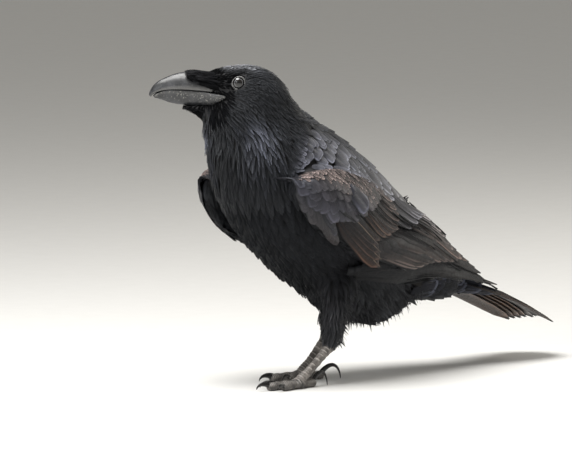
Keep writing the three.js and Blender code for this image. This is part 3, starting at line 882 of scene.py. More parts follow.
def make_coat(surface):
    """The contour feathers, from the brow to the belly and the legs."""
    points, normals, uv = surface.scatter(CONTOUR_PLACES)
    _, details = coat_at(points)
    gap = wing_gap(points)
    for nearness, deepest in THINNER_BY_WINGS:
        near = gap > nearness
        details[near, DEPTH] = np.minimum(details[near, DEPTH], deepest)
    clear = ~under_rows(points, normals, gap) & (points[:, 2] > FOOT_TOP) & (points[:, 0] < TAIL_START)
    by_bill = (points[:, 2] > HEAD_FLOOR) & ((points - EYE_LINE) @ HEAD_AHEAD > BILL_FRONT)
    clear[by_bill] &= outside(["bill_upper", "bill_lower"], points[by_bill]) > BILL_CLEARING
    for s in (1, -1):
        clear &= np.linalg.norm(points - in_head(0, 0, s * EYE_RIM), axis=1) > EYE_CLEARING
    points, normals, uv, details = (x[clear] for x in (points, normals, uv, details))
    kept = spaced(points, details[:, SPACING])
    points, normals, uv, details = (x[kept] for x in (points, normals, uv, details))
    is_head = (points[:, 2] > HEAD_FLOOR) & ((points - EYE_LINE) @ HEAD_AHEAD > HEAD_BACK)
    is_lores = is_head & (details[:, TONE] < DARK_FACE)
    is_leg = (points[:, 2] < LEG_TOP) & (np.abs(points[:, 1]) > LEG_SIDE) & (details[:, WIDTH] < LEG_WIDTH)
    is_neck = ~is_head & (points[:, 2] > NECK_FLOOR)
    glossy = feather_material("glossy_black_plumage", 0.42, 0.36)
    velvet = feather_material("velvet_black_plumage", 0.75, 0.06)
    satin = feather_material("satin_black_plumage", 0.6, 0.18)
    groups = (
        ("lore_and_chin_feathers", is_lores, velvet),
        ("head_feathers", is_head & ~is_lores, glossy),
        ("neck_hackles", is_neck, glossy),
        ("leg_plumes", is_leg, glossy),
        ("breast_and_belly_feathers", ~(is_head | is_leg | is_neck), satin),
    )
    for name, chosen, material in groups:
        p, n, t, d = points[chosen], normals[chosen], uv[chosen], details[chosen]
        add_vanes(name, body_vanes(surface, p, n, d), coat_tints(d), t, material, "plumage")
    return glossy, velvet


BACK = [  # the body from the neck to the tail, as rings that the rows of the back are measured on
    ((x, 0, z), (0, -1, 0), wide, up, up, 0)
    for x, z, wide, up in (
        (-66, 281, 38, 52),
        (-56, 258, 52, 63),
        (-30, 222, 61, 74),
        (16, 190, 64, 80),
        (68, 157, 60, 79),
        (130, 128, 47, 64),
        (172, 113, 34, 48),
        (225, 100, 24, 22),
        (262, 86, 13, 7),
    )
]


LEAST_TURN_COSINE, LONGEST_STEP = 0.6, 1.7


def lies_smooth(grid, length):
    """Which vanes neither twist suddenly nor jump from the back onto the wing."""
    across = unit(grid[:, 1:-1, -1] - grid[:, 1:-1, 0])
    twist = (across[:, 1:] * across[:, :-1]).sum(axis=-1).min(axis=1)
    step = np.linalg.norm(np.diff(grid.mean(axis=2), axis=1), axis=-1) / np.diff(ROWS)
    return (twist > LEAST_TURN_COSINE) & ((step / length[:, None]).max(axis=1) < LONGEST_STEP)


# The rows of the back at some places along it: where, from one row to the next, and from one feather to
# the next in its row.
ROW_PLACES, ROW_STEPS, ROW_GAPS = (
    (-70, -20, 20, 60, 120, 240),
    (4.6, 6.8, 11, 15, 19, 19),
    (5.6, 7.0, 9.0, 11, 13, 13),
)
LENGTH_PLACES, LENGTHS = (-60, -20, 20, 60, 110, 240), (12, 18, 29, 38, 44, 44)
RISE_PLACES, RISES = (-60, 20, 100, 200), (235, 219, 196, 150)  # near a wing, the rows stay above these
ROW_END = 8  # how far before the end of the back the rows stop
ROW_TURN, ROW_STEPS_ROUND = 100, 60  # how far round the back a row goes, in degrees


def mantle_roots():
    """The roots of the rows: the share of the back's length, the angle round it and the gap beside it."""
    t = np.linspace(0, 1, 500)
    top = loft_points(BACK, t, 0 * t, 1 + 0 * t)
    walk = lengths_along(top)
    turn = np.radians(np.linspace(0, ROW_TURN, ROW_STEPS_ROUND))
    roots = []
    at, row = 0.0, 0
    while at < walk[-1] - ROW_END:
        x = np.interp(at, walk, top[:, 0])
        share = np.interp(at, walk, t)
        gap = np.interp(x, ROW_PLACES, ROW_GAPS)
        arc = lengths_along(loft_points(BACK, np.full(len(turn), share), np.sin(turn), np.cos(turn)))
        for k in range(-20, 21):
            place = (k + 0.5 * (row % 2)) * gap
            if abs(place) < arc[-1]:
                angle = np.interp(abs(place), arc, turn) * (1 if place >= 0 else -1)
                roots.append((share, angle, gap))
        at += np.interp(x, ROW_PLACES, ROW_STEPS) * dice.uniform(0.85, 1.15)
        row += 1
    return np.array(roots).T


def make_mantle(surface, material):
    """The scale-like feathers of the back and shoulders, laid in staggered rows that grow rearwards."""
    share, angle, gap = mantle_roots()
    angle = angle + dice.normal(0, 0.034, len(angle))
    share = share + dice.normal(0, 0.006, len(share))
    points, normals, uv = surface.root(loft_points(BACK, share, np.sin(angle), np.cos(angle)))
    _, details = coat_at(points)
    x, y, z = points.T
    by_wing = np.clip(1 - distance_to(WING_NODES, points) / 22, 0, 1)
    on_top = (normals[:, 2] > np.interp(x, (-20, 20), (-0.1, 0.12))) & (z > 85)
    clear_of_wing = (wing_gap(points) < 0) | (z > np.interp(x, RISE_PLACES, RISES))
    chosen = on_top & clear_of_wing & (x > mantle_start(y) - 3)
    details[:, LENGTH] = np.interp(x, LENGTH_PLACES, LENGTHS)
    details[:, WIDTH] = gap * dice.uniform(1.35, 1.7, len(gap))
    details[:, DEPTH] = 2.6 + 3.4 * by_wing * np.clip((x + 45) / 30, 0, 1)
    p, n, t, d = points[chosen], normals[chosen], uv[chosen], details[chosen]
    grid = body_vanes(surface, p, n, d, columns=5, jitter=0.13, hump=0.1)
    tints = coat_tints(d)
    smooth = lies_smooth(grid, d[:, LENGTH])
    add_vanes("mantle_and_scapulars", grid[smooth], tints[smooth], t[smooth], material, "plumage")


# ---------- the wings ----------
def wing_ring(at, lean, wide, up, down, curl):
    a = math.radians(lean)
    return (at, (0, -math.cos(a), math.sin(a)), wide, up, down, curl)


WING = [
    wing_ring((-76, -60, 214), 0, 5, 9, 9, 0.004),
    wing_ring((-65, -64, 211), 2, 10, 22, 21, 0.006),
    wing_ring((-36, -69, 201), 4, 11.5, 36, 37, 0.006),
    wing_ring((4, -69, 186), 8, 11.5, 42, 42, 0.006),
    wing_ring((52, -62, 170), 14, 10.5, 47, 47, 0.006),
    wing_ring((104, -50, 160), 24, 9, 45, 45, 0.007),
    wing_ring((156, -37, 149), 36, 7.5, 37, 38, 0.008),
    wing_ring((212, -24, 125), 46, 5.5, 21, 26, 0.008),
    wing_ring((258, -15, 105), 54, 3.4, 11, 13, 0.006),
    wing_ring((294, -9, 87), 60, 1.2, 4, 4, 0),
]
WING_SET = {-1: np.array([6, 0, 2]), 1: np.array([0, -3, -2])}  # each wing's own shift
WING_STEPS = np.linspace(0, 1, 200)
WING_CENTRES = catmull([r[0] for r in WING], WING_STEPS)
WING_REACH = lengths_along(WING_CENTRES)
WING_LENGTH = WING_REACH[-1]
WING_FRONT = unit(WING_CENTRES[6] - WING_CENTRES[0])
WING_REAR = unit(WING_CENTRES[-1] - WING_CENTRES[-20])
FOLD_START = 0.85  # of the wing's upper half: past it the surface bends in over the back
FOLD_END, FOLD_FADE = 345, 50  # the reach where the bend is gone, and over which it fades
SHOULDER_REACH = 120  # as far as this the bend goes on without end
FOLD_DEPTH, NO_END = 6, 99  # how far the bend goes behind the shoulder, and as far as it
DROP_AT_SHOULDER, DROP_BEHIND = 1.22, 1.8  # how steeply it falls


def on_wing(reach, height, lift, side):
    """Points over a folded wing: reach runs back from the wrist, height up from its middle line."""
    shape = reach.shape
    reach, height, lift = (np.broadcast_to(x, shape).reshape(-1) for x in (reach, height, lift))
    centre, out, up, sizes = section_frames(WING, np.interp(reach, WING_REACH, WING_STEPS))
    tall = np.where(height > 0, sizes[:, 1], sizes[:, 2])
    over = np.maximum(height - FOLD_START * sizes[:, 1], 0) * np.clip((FOLD_END - reach) / FOLD_FADE, 0, 1)
    behind = reach > SHOULDER_REACH
    deepest = np.where(behind, FOLD_DEPTH, NO_END)
    height, over = height - np.maximum(over - deepest, 0), np.minimum(over, deepest)
    round_off = np.sqrt(np.clip(1 - (height / tall) ** 2, 0, 1))
    bulge = sizes[:, 0] * round_off - sizes[:, 3] * height**2 + lift - over
    early = np.minimum(reach, 0)[:, None] * WING_FRONT
    beyond = np.maximum(reach - WING_LENGTH, 0)[:, None] * WING_REAR
    rise = height - over * np.where(behind, DROP_BEHIND, DROP_AT_SHOULDER)
    points = centre + beyond + early + up * rise[:, None] + out * bulge[:, None]
    points += WING_SET[side]
    points[:, 1] *= -side
    return points.reshape(shape + (3,))


COLUMNS = 5


def wing_vanes(side, rows, tilt):
    """Vane grids for feathers on the wing: (reach, height, angle, length, width, point, lift), where reach
    and height are the tip's. The tilt raises each vane's lower edge."""
    spec = np.array(rows, float)
    s = ROWS[None, :, None]
    w = np.linspace(-1, 1, COLUMNS)[None, None, :]
    tip_reach, tip_height, angle, length, width, _, lift = (column[:, None, None] for column in spec.T)
    a = np.radians(angle)
    half = width / 2 * np.stack([vane_profile(ROWS, p) for p in spec[:, 5]])[:, :, None]
    along = length * (s - 1)
    reach = tip_reach + along * np.cos(a) - half * w * np.sin(a)
    height = tip_height + along * np.sin(a) + half * w * np.cos(a)
    raised = lift + 1.3 * s - 0.8 + width * 0.06 * (1 - w**2) - tilt * w
    return on_wing(reach, height, raised + 0 * reach, side)


def row_of(count, tips, angle, length, width, point, lift, pile=0.0, wobble=0.04):
    """A row of like feathers whose tips follow a curve. Pairs give the first and the last one's value, and
    pile is how much higher each lies than the one before."""
    share = np.linspace(0, 1, count)
    rows = []
    for k, (reach, height) in enumerate(catmull(tips, share)):
        angle_k, length_k, width_k = (p[0] + (p[1] - p[0]) * share[k] for p in (angle, length, width))
        angle_k += dice.normal(0, 40 * wobble)
        length_k *= dice.uniform(1 - wobble, 1 + wobble)
        width_k *= dice.uniform(1 - wobble, 1 + wobble)
        reach += dice.normal(0, 12 * wobble)
        height += dice.normal(0, 8 * wobble)
        rows.append((reach, height, angle_k, length_k, width_k, point, lift + pile * k))
    return rows


# The near black is for the painted shadow in the gaps between feathers.
VIOLET, BROWN, UMBER, DUSK, SHADOW_BLACK = (54, 53, 60), (50, 37, 30), (58, 49, 44), (22, 19, 17), (6, 6, 6)
TAUPE, IRON, ASH = (70, 60, 55), (38, 37, 41), (88, 80, 77)
PALE_SHAFT, FAINT_SHAFT = 1.6, 1.22
HAND_REACH, SLIT_START = 240, 200  # slits that end behind the first don't start ahead of the second


def slit_beside(row, way):
    """Painted shadow: the dark gap along a feather's upper (1) or lower (-1) edge, as a narrow dark vane of
    its own.
    """
    reach, height, angle, length, width, point, lift = row
    a, aside = math.radians(angle), way * width * dice.uniform(0.44, 0.52)
    short = (dice.uniform(0.04, 0.14) + 0.5 * point) * length
    tip_reach = reach - aside * math.sin(a) - short * math.cos(a)
    tip_height = height + aside * math.cos(a) - short * math.sin(a)
    long = length * dice.uniform(0.5, 0.85)
    if reach > HAND_REACH:
        long = min(long, tip_reach - SLIT_START)
    return (tip_reach, tip_height, angle, long, dice.uniform(2.2, 4.2), 1, lift + 0.25)


def lay(made, rows, colour, rim, last=None, vary=0.15, slit=0):
    """Adds feathers as (row, colour, strength of the painted rim highlight and edge shadow), fading to the
    last one's colour, and beside them dark vanes as painted shadow in the slits.
    """
    for k, row in enumerate(rows):
        share = k / max(len(rows) - 1, 1)
        if slit and dice.uniform() < 0.95:
            made.append((slit_beside(row, slit), np.array(SHADOW_BLACK), 0.0))
        tone = np.array(colour) * (1 - share) + np.array(last or colour) * share
        made.append((row, tone * dice.uniform(1 - vary, 1 + vary), rim))


def long_feathers():
    """The primaries, secondaries, tertials and larger coverts, from the lowest layer up."""
    made = []
    primary_tips = [(409, -6.5), (395, -6), (372, -9.5), (344, -16), (314, -23)]
    primaries = row_of(9, primary_tips, (9, 10), (300, 190), (17, 19), 0.5, -3.4, -0.45, 0.01)
    lay(made, primaries, DUSK, 0.9, (36, 30, 26), 0.4, -1)
    inner_tips = [(366, -8), (347, -7), (329, -5), (310, -2)]
    inner = row_of(5, inner_tips, (3, -2), (200, 170), (24, 22), 0.45, -2.6, 0.4, 0.02)
    lay(made, inner, (44, 38, 34), 0.9, UMBER, 0.4, -1)
    secondary_tips = [(222, -37), (240, -32), (268, -27), (296, -20), (318, -12)]
    secondaries = row_of(9, secondary_tips, (-4, -6), (140, 138), (21, 20), 0.12, -2.2, 0.4, 0.03)
    lay(made, secondaries, (48, 42, 39), 0.95, TAUPE, 0.45, -1)
    tertial_tips = [(306, -12), (293, -5), (279, 3), (262, 10), (246, 17)]
    tertials = row_of(8, tertial_tips, (-10, -17), (128, 74), (22, 20), 0.14, 0.6, 0.35, 0.06)
    lay(made, tertials, (80, 71, 66), 0.9, (146, 142, 142), 0.35, -1)
    cover_tips = [(145, -46), (141, -40), (135, -34), (127, -28)]
    covers = row_of(4, cover_tips, (-17, -16), (100, 84), (17, 17), 0.35, -0.6, 0.4, 0.02)
    lay(made, covers, BROWN, PALE_SHAFT, (38, 31, 28), 0.2)
    return made


def alula():
    """The few small feathers at the wrist."""
    made = []
    rows = row_of(3, [(66, -35), (58, -31), (52, -27)], (-24, -34), (38, 30), (12, 12), 0.6, 0.6, 0.35)
    lay(made, rows, IRON, 0.6)
    return made


def great_coverts():
    """The greater coverts, the long ones above them, and dark vanes between both as painted shadow in the
    gaps.
    """
    made = []
    greater_tips = [(131, -22), (146, -16), (158, -8), (164, 2), (164, 13), (158, 22)]
    greater = row_of(11, greater_tips, (-19, -18), (80, 62), (16, 17), 0.3, 0.3, 0.3, 0.06)
    lay(made, greater[:4], (58, 47, 41), FAINT_SHAFT, None, 0.25, -1)
    lay(made, greater[4:], TAUPE, 0.9, (88, 79, 75), 0.3, -1)
    upper_tips = [(190, -6), (206, 0), (222, 7), (232, 14)]
    upper = row_of(6, upper_tips, (-18, -24), (76, 54), (17, 18), 0.35, 2.2, 0.3, 0.07)
    lay(made, upper, (84, 83, 87), 0.9, (104, 103, 107), 0.3, -1)
    # Dark vanes painted as the shadow in the gaps between feathers.
    gaps = [
        (195, -6, -17, 50, 5.5, 1, 4.6),
        (207, -7, -18, 44, 5, 1, 5.0),
        (176, -8, -14, 32, 4, 1, 3.6),
        (243, -24, -12, 60, 3.6, 1, 2.2),
        (262, -12, -15, 54, 3.4, 1, 3.8),
        (226, -12, -14, 46, 3.2, 1, 4.2),
        (300, -22, -4, 60, 3, 1, 2.2),
        (282, 2, -16, 44, 3, 1, 4.2),
    ]
    lay(made, gaps, SHADOW_BLACK, 0.0)
    return made


BAND_LOW = np.array([(-1, 7), (6, 9), (20, 11), (36, 11), (54, 9), (76, 8), (108, 12)], float)
BAND_HIGH = np.array([(2, 14), (20, 29), (36, 39), (54, 39), (74, 35), (100, 30), (132, 26)], float)
BAND_ROWS, WARM_ROWS, HIGH_ROW = 13, 10, 9


def small_coverts():
    """The median and lesser coverts, those along the wing's edge, and the warm band of its shoulder."""
    made = []
    median_tips = [(56, -23), (69, -19), (84, -14), (104, 2), (114, 10), (122, 20)]
    median = row_of(9, median_tips, (-38, -24), (40, 38), (18, 19), 0.25, 1.6, 0.2, 0.06)
    lay(made, median, VIOLET, 0.3, (60, 55, 54), 0.25)
    # Two dark vanes as painted shadow in the gaps between the median coverts.
    lay(made, [(83, -18, -10, 34, 4.5, 1, 3.6), (94, -15, -14, 24, 4.5, 1, 3.8)], SHADOW_BLACK, 0.0)
    edge_line = [(0, 2), (3, -9), (12, -19), (26, -28), (42, -34), (58, -38), (76, -41)]
    edge = row_of(18, edge_line, (-74, -20), (16, 34), (7, 9), 0.5, 1.0)
    lay(made, edge, (40, 40, 45), 0.2, (46, 40, 39), 0.2)
    for tips, count, colour, last, lift in (
        ([(18, -18), (34, -20), (50, -17), (66, -10), (78, -4), (92, 8)], 9, VIOLET, (54, 52, 58), 2.0),
        ([(8, -8), (22, -9), (38, -5), (54, 0), (72, 4), (94, 14)], 10, VIOLET, (60, 56, 57), 2.3),
        ([(4, 0), (16, -2), (32, 4), (48, 8), (66, 10), (90, 18)], 13, (56, 56, 62), (72, 66, 64), 2.6),
    ):
        rows = row_of(count, tips, (-56, -32), (30, 25), (17, 14), 0.12, lift, 0.05, 0.09)
        lay(made, rows, colour, 0.3, last, 0.1)
    lay(made, [(92, -1, -30, 38, 27, 0.0, 3.6)], (58, 58, 66), 0.5)
    for k in range(BAND_ROWS):
        tips = BAND_LOW + (BAND_HIGH - BAND_LOW) * k / HIGH_ROW
        tips = tips + dice.normal(0, 0.7, tips.shape)
        rows = row_of(20, tips, (-60, -34), (9, 14), (5.0, 7.2), 0.5, 3.3 + 0.04 * k, wobble=0.12)
        lay(made, rows, (104, 92, 88) if k < WARM_ROWS else (88, 88, 94), 0.7, ASH, 0.3)
    return made


def loose_vane(root, tip, width, across, bow, point):
    """One vane that stands free, from its root to its tip, bowed at its middle."""
    s = ROWS[:, None, None]
    w = np.linspace(-1, 1, COLUMNS)[None, :, None]
    root, tip, across, bow = (np.array(x, float) for x in (root, tip, across, bow))
    half = width / 2 * vane_profile(ROWS, point)[:, None, None]
    return root + (tip - root) * s + bow * 4 * s * (1 - s) + unit(across) * half * w


FAR_TERTIALS = (  # the right wing's inner feathers, which stand a little off the back
    ((190, 13, 154), (272, 8, 114), 12, (0.1, -0.62, 0.78), (0, 0, 1.5), 0.6),
    ((174, 14, 163), (246, 10, 130), 12, (0.1, -0.62, 0.78), (0, 0, 1.5), 0.6),
)
FAR_TERTIAL_TINT = (*linear((14, 14, 15)), 0.1)
WING_CELLS = 20  # each wing piece's unwrap has this many rows and columns of patches
WING_WALL, TAIL_WALL = 0.0004, 0.0006


def thicken(piece, wall):
    solidify = piece.modifiers.new("vane_thickness", "SOLIDIFY")
    solidify.thickness, solidify.offset = wall, -1


def make_wings():
    # Besides their weathered tones, the flight feathers carry painted shade across the side of each vane
    # that lies under its neighbour.
    flight = feather_material("weathered_flight_feathers_with_painted_shade", 0.46, 0.28, 300, 0.35, 0.2, 0.64)
    roofing = feather_material("scaled_wing_coverts", 0.42, 0.4, 120, 0.2, 0.3)
    for side, word in SIDES.items():
        long_ones = long_feathers()
        small_ones = alula()
        long_ones += great_coverts()
        small_ones += small_coverts()
        for name, feathers, finish, tilt in (
            ("wing_feathers", long_ones, flight, 0.9),
            ("wing_coverts", small_ones, roofing, 0.25),
        ):
            grid = wing_vanes(side, [f[0] for f in feathers], tilt)
            tints = np.array([(*linear(f[1]), f[2]) for f in feathers])
            if side > 0 and finish is flight:
                grid = np.concatenate([grid, [loose_vane(*f) for f in FAR_TERTIALS]])
                tints = np.concatenate([tints, [FAR_TERTIAL_TINT] * len(FAR_TERTIALS)])
            index = np.arange(len(grid))
            roots = (np.stack([index % WING_CELLS, index // WING_CELLS], axis=1) + 0.5) / WING_CELLS
            patch = 0.9 / WING_CELLS
            piece = add_vanes(f"{name}_{word}", grid, tints, roots, finish, "flight_feathers", patch=patch)
            thicken(piece, WING_WALL)
    return flight


# ---------- the tail ----------
TAIL_ROOT, TAIL_SWING = 214.0, 0.08  # where it leaves the back, and how far it swings to the right
TAIL_X, TAIL_Z = (214, 250, 292, 334, 366, 388, 408), (104, 94, 83, 70, 57, 47.5, 39)  # its middle line
TAIL_FEATHERS, TAIL_COLUMNS = 12, 7
TAIL_END, OUTER_SHORTER = 407, 14
TAIL_SPREAD = ((214, 250, 292, 334, 400), (18, 28, 36, 39, 39))
LEFT_DROOP, RIGHT_DROOP = 6.4, 7.5


def tail_height(x):
    return np.interp(x, TAIL_X, TAIL_Z)


def make_tail(material):
    """Twelve feathers, the middle pair longest and on top."""
    grids, tints = [], []
    s = ROWS[:, None]
    w = np.linspace(-1, 1, TAIL_COLUMNS)[None, :]
    middle = (TAIL_FEATHERS - 1) / 2
    for k in range(TAIL_FEATHERS):
        place = (k - middle) / middle
        aside = abs(place)
        end = TAIL_END - OUTER_SHORTER * aside**2.2 + dice.normal(0, 1.5)
        x = TAIL_ROOT + (end - TAIL_ROOT) * s
        spread = place * (np.interp(x, *TAIL_SPREAD) - 8)
        half = (12 + 2 * (1 - aside)) * vane_profile(ROWS, 0.14)[:, None]
        y = (x - TAIL_ROOT) * TAIL_SWING + spread + half * w
        droop = (RIGHT_DROOP if place > 0 else LEFT_DROOP) * aside
        z = tail_height(x) + 2.6 - droop - 0.0034 * (spread + half * w) ** 2 + 0.9 * (1 - w**2)
        grids.append(np.stack([x + 0 * w, y, z], axis=-1))
        tone = np.array((98, 93, 89) if aside < 0.3 else (86, 68, 56)) * dice.uniform(0.8, 1.15)
        tints.append((*linear(tone), 0.5))
    along = (np.arange(TAIL_FEATHERS) + 0.5) / TAIL_FEATHERS
    roots = np.stack([along, np.full(TAIL_FEATHERS, 0.5)], axis=1)
    grids, tints = np.array(grids), np.array(tints)
    piece = add_vanes("tail_feathers", grids, tints, roots, material, "flight_feathers", "tail", patch=0.08)
    thicken(piece, TAIL_WALL)


def tail_girth(x):
    """The half width, rise above and drop below the tail's middle line, with its coverts on."""
    return (np.interp(x, (150, 180, 200, 222, 250, 300, 340), (38, 31, 28.4, 26, 27, 33, 35)),
            np.interp(x, (190, 230, 270, 310, 340), (24, 13, 10.5, 8, 4)),
            np.interp(x, (150, 190, 206, 243, 280, 310, 340), (24.6, 24.6, 24.2, 15.8, 10.5, 6, 3)))


COVERT_LAYERS = ((306, 62, 0.7), (282, 60, 0.95), (254, 56, 1.15), (226, 56, 1.25), (200, 56, 1.3))
COVERT_HALF_WIDTH = 14.5


def make_tail_coverts(surface, material):
    """Broad soft feathers under and over the tail's root, in layers of (tip, length, spread)."""
    grids, tints = [], []
    w = np.linspace(-1, 1, COLUMNS)[None, :]
    s = ROWS[:, None]
    for below, colour in ((True, (44, 45, 50)), (False, (56, 54, 52))):
        for layer, (tip, length, spread) in enumerate(COVERT_LAYERS):
            for k in range(-3, 4):
                place = k / 3 * spread + dice.normal(0, 0.03)
                end = tip - 10 * abs(place) + dice.normal(0, 2)
                x = end - length * (1 - s)
                half = COVERT_HALF_WIDTH * vane_profile(ROWS, 0.05)[:, None] * w
                wide, rise, drop = tail_girth(x)
                angle = place * 1.25 + half / wide
                reach = (drop if below else rise) + 0.5 * layer + 0.5 * s - 0.8
                z = tail_height(x) + (-1 if below else 1) * np.cos(angle) * reach
                y = (x - TAIL_ROOT) * TAIL_SWING + np.sin(angle) * (wide + 0.4 * layer)
                grids.append(np.stack([x + 0 * y, y, z], axis=-1))
                tints.append((*linear(np.array(colour) * dice.uniform(0.75, 1.25)), 0.95))
    grids = np.array(grids)
    _, _, uv = surface.root(grids[:, 0, COLUMNS // 2])
    add_vanes("tail_coverts", grids, np.array(tints), uv, material, "plumage")


PLUME_PLACES, PLUME_SPACING = 30000, 2.9
PLUME_X, PLUME_Z = (16, 166), (46, 104)
PLUME_WAY, FALL = np.array([0.36, 0, -0.9]), np.array([0.1, 0, -1.0])
LOOSE_AT, LOOSE = (16, 60, 90, 120, 148, 160), (2.5, 4, 9, 13, 17, 2)  # how far past the solids they hang
PLUME_LENGTHS = (10, 14, 18, 23, 28, 33, 38, 43)
SHORTEST_PLUME = 6.0
SPRUNG_VANE = ((134, -20, 90), (176, -12, 71.5), 10, (0.3, -0.5, 0.8), (0, 0, 2), 0.9)


def make_plumes(surface, material):
    """Loose wisps that hang from the flanks, vent and thighs, and one stiff vane that has sprung out."""
    points, normals, uv = surface.scatter(PLUME_PLACES)
    x, _, z = points.T
    low = (x > PLUME_X[0]) & (x < PLUME_X[1]) & (z > PLUME_Z[0]) & (z < PLUME_Z[1]) & (normals[:, 2] < 0.2)
    points, normals, uv = points[low], normals[low], uv[low]
    kept = spaced(points, np.full(len(points), PLUME_SPACING))
    points, normals, uv = points[kept], normals[kept], uv[kept]
    count = len(points)
    tuft = np.sin(points[:, 0] * 0.55 + 1.3 * np.sin(points[:, 1] * 0.3)) * 0.5 + 0.5
    way = unit(PLUME_WAY + dice.normal(0, 0.13, (count, 3)) + normals * 0.25)
    loose = np.interp(points[:, 0], LOOSE_AT, LOOSE)
    allowed = loose * dice.uniform(0, 1, count) * (0.3 + 0.9 * tuft)
    length = np.full(count, SHORTEST_PLUME)
    for reach in PLUME_LENGTHS:
        tips = points + (way + FALL * 0.25) * reach + normals * 4
        length = np.where(outside(["trunk"], tips) < allowed, reach, length)
    across = unit(np.cross(normals, way) + dice.normal(0, 0.3, (count, 3)))
    wide = dice.uniform(1.4, 3.2, count)
    grid = np.zeros((count, len(ROWS), 3, 3))
    for r, s in enumerate(ROWS):
        half = wide / 2 * (1 - s**1.6 * 0.94)
        place = points + (way * s + FALL * 0.25 * s * s) * length[:, None] + normals * (1 + 3 * s)
        for c, w in enumerate((-1, 0, 1)):
            grid[:, r, c] = place + across * (half * w)[:, None]
    tints = np.tile((*linear((46, 46, 48)), 0.0), (count, 1))
    tints[:, :3] *= dice.uniform(0.5, 1.7, (count, 1))
    add_vanes("vent_plumes", grid, tints, uv, material, "plumage")
    sprung = loose_vane(*SPRUNG_VANE)[None]
    _, _, spot = surface.root(sprung[:, 0, COLUMNS // 2])
    tint = np.array([(*linear((26, 27, 30)), 0.3)])
    add_vanes("sprung_vent_vane", sprung, tint, spot, material, "plumage")


# ---------- bill and eyes ----------
def face_ring(forward, rise, wide, up, down):
    return (in_head(forward, rise), HEAD_LEFT, wide, up, down, 0)


UPPER_BILL = [
    face_ring(90.6, -15, 0.8, 1.2, 0.8),
    face_ring(88.6, -12, 2.4, 3.6, 1.2),
    face_ring(83, -9.2, 4.4, 8, 1.2),
    face_ring(74, -7.3, 6.2, 12, 1.2),
    face_ring(59, -6.8, 8.8, 16.9, 1.3),
    face_ring(40, -8, 11.2, 19, 1.6),
    face_ring(22, -10, 10.5, 17, 2),
]
LOWER_BILL = [
    face_ring(87.6, -14.6, 1.2, 0.6, 2.2),
    face_ring(83, -12, 3.4, 1.4, 6.6),
    face_ring(75, -9.4, 5.2, 1.6, 11.4),
    face_ring(62, -8.6, 7.2, 1.2, 14.6),
    face_ring(40, -10, 9.8, 0.8, 15.4),
    face_ring(27, -12, 13, 0.8, 14.6),
    face_ring(18, -13.4, 16.6, 0.8, 12),
    face_ring(13, -14.6, 17, 0.8, 8),
]


def horn(ridge, way):
    """Narrows the bill towards its ridge, above (1) or below (-1), and keeps its cutting edges crisp."""

    def carve(t, across, lift):
        narrow = 1 - ridge * np.clip(lift if way > 0 else -lift, 0, 1) ** 2
        return across * narrow, lift, 0 * t

    return carve


def make_bill():
    for name, rings, way, fleck in (("upper", UPPER_BILL, 1, 0.12), ("lower", LOWER_BILL, -1, 0.75)):
        bm = bmesh.new()
        add_loft(bm, rings, 56, 72, horn(0.2, way))
        keep(bm, f"{name}_bill", bill_material(f"{name}_bill_horn", fleck), "bill", f"bill_{name}")


BRISTLES = [
    face_ring(56, 6.4, 5.2, 2.4, 2.4),
    face_ring(51, 5.8, 8.6, 4.0, 3.8),
    face_ring(42, 4.0, 11.3, 6.0, 6.8),
    face_ring(30, 1.5, 13.6, 8.6, 9.4),
    face_ring(18, -1, 16, 12, 13),
]
CHIN = [
    face_ring(58, -25, 2, 1.4, 1),
    face_ring(48, -26.5, 6, 3, 3),
    face_ring(36, -29, 11, 8, 8),
    face_ring(22, -38, 17, 18, 15),
]


def strands(rings, starts, ends, angles, width, stand):
    """Fine bristles lying forwards along a loft, from one share of it to another, at an angle round it."""
    count = len(starts)
    grid = np.zeros((count, len(ROWS), 3, 3))
    sway = dice.normal(0, 0.16, count)
    height = dice.uniform(0.1, 1.3, count)
    for r, s in enumerate(ROWS):
        t = np.clip(starts + (ends - starts) * s, 0, 1)
        centre = section_frames(rings, t)[0]
        half = width / 2 * (1 - s) ** 0.7 + 0.06
        for c, w in enumerate((-1, 0, 1)):
            turn = angles + sway * s + w * half / 9
            point = loft_points(rings, t, np.cos(turn), np.sin(turn))
            raised = height * (0.2 + s * stand) + 0.25 * (1 - abs(w))
            grid[:, r, c] = point + unit(point - centre) * raised[:, None]
    return grid


BRISTLE_COUNT, CHIN_COUNT = 640, 200


def make_bristles(surface, material):
    """The stiff feathers that lie over the bill's base, and the wisps under the chin."""
    angles = dice.uniform(-0.7, math.pi + 0.7, BRISTLE_COUNT)
    shorter = 0.2 * np.clip(-np.sin(angles) * 1.4 + 0.2, 0, 1)
    ends = dice.beta(1.2, 1.6, BRISTLE_COUNT) * 0.5 + 0.02 + shorter
    starts = ends + dice.uniform(0.26, 0.5, BRISTLE_COUNT)
    nasal = strands(BRISTLES, np.minimum(starts, 0.98), ends, angles, 1.1, 2.2)
    under = dice.uniform(math.pi + 0.1, math.tau - 0.1, CHIN_COUNT)
    chin_ends = dice.uniform(0.02, 0.45, CHIN_COUNT)
    chin_starts = chin_ends + dice.uniform(0.18, 0.3, CHIN_COUNT)
    chin = strands(CHIN, chin_starts, chin_ends, under, 0.7, 1.8)
    for name, made in (("nasal_bristles", nasal), ("chin_bristles", chin)):
        _, _, uv = surface.root(made[:, 0, 1])
        tints = np.tile((*linear((27, 27, 28)), 0.0), (len(made), 1))
        forward = (made[:, -1, 1] - EYE_LINE) @ HEAD_AHEAD
        shine = dice.uniform(0.1, 2.5, len(made)) ** 2 * np.interp(forward, (30, 48), (0.12, 1.1))
        tints[:, :3] *= shine[:, None]
        add_vanes(name, made, tints, uv, material, "plumage")


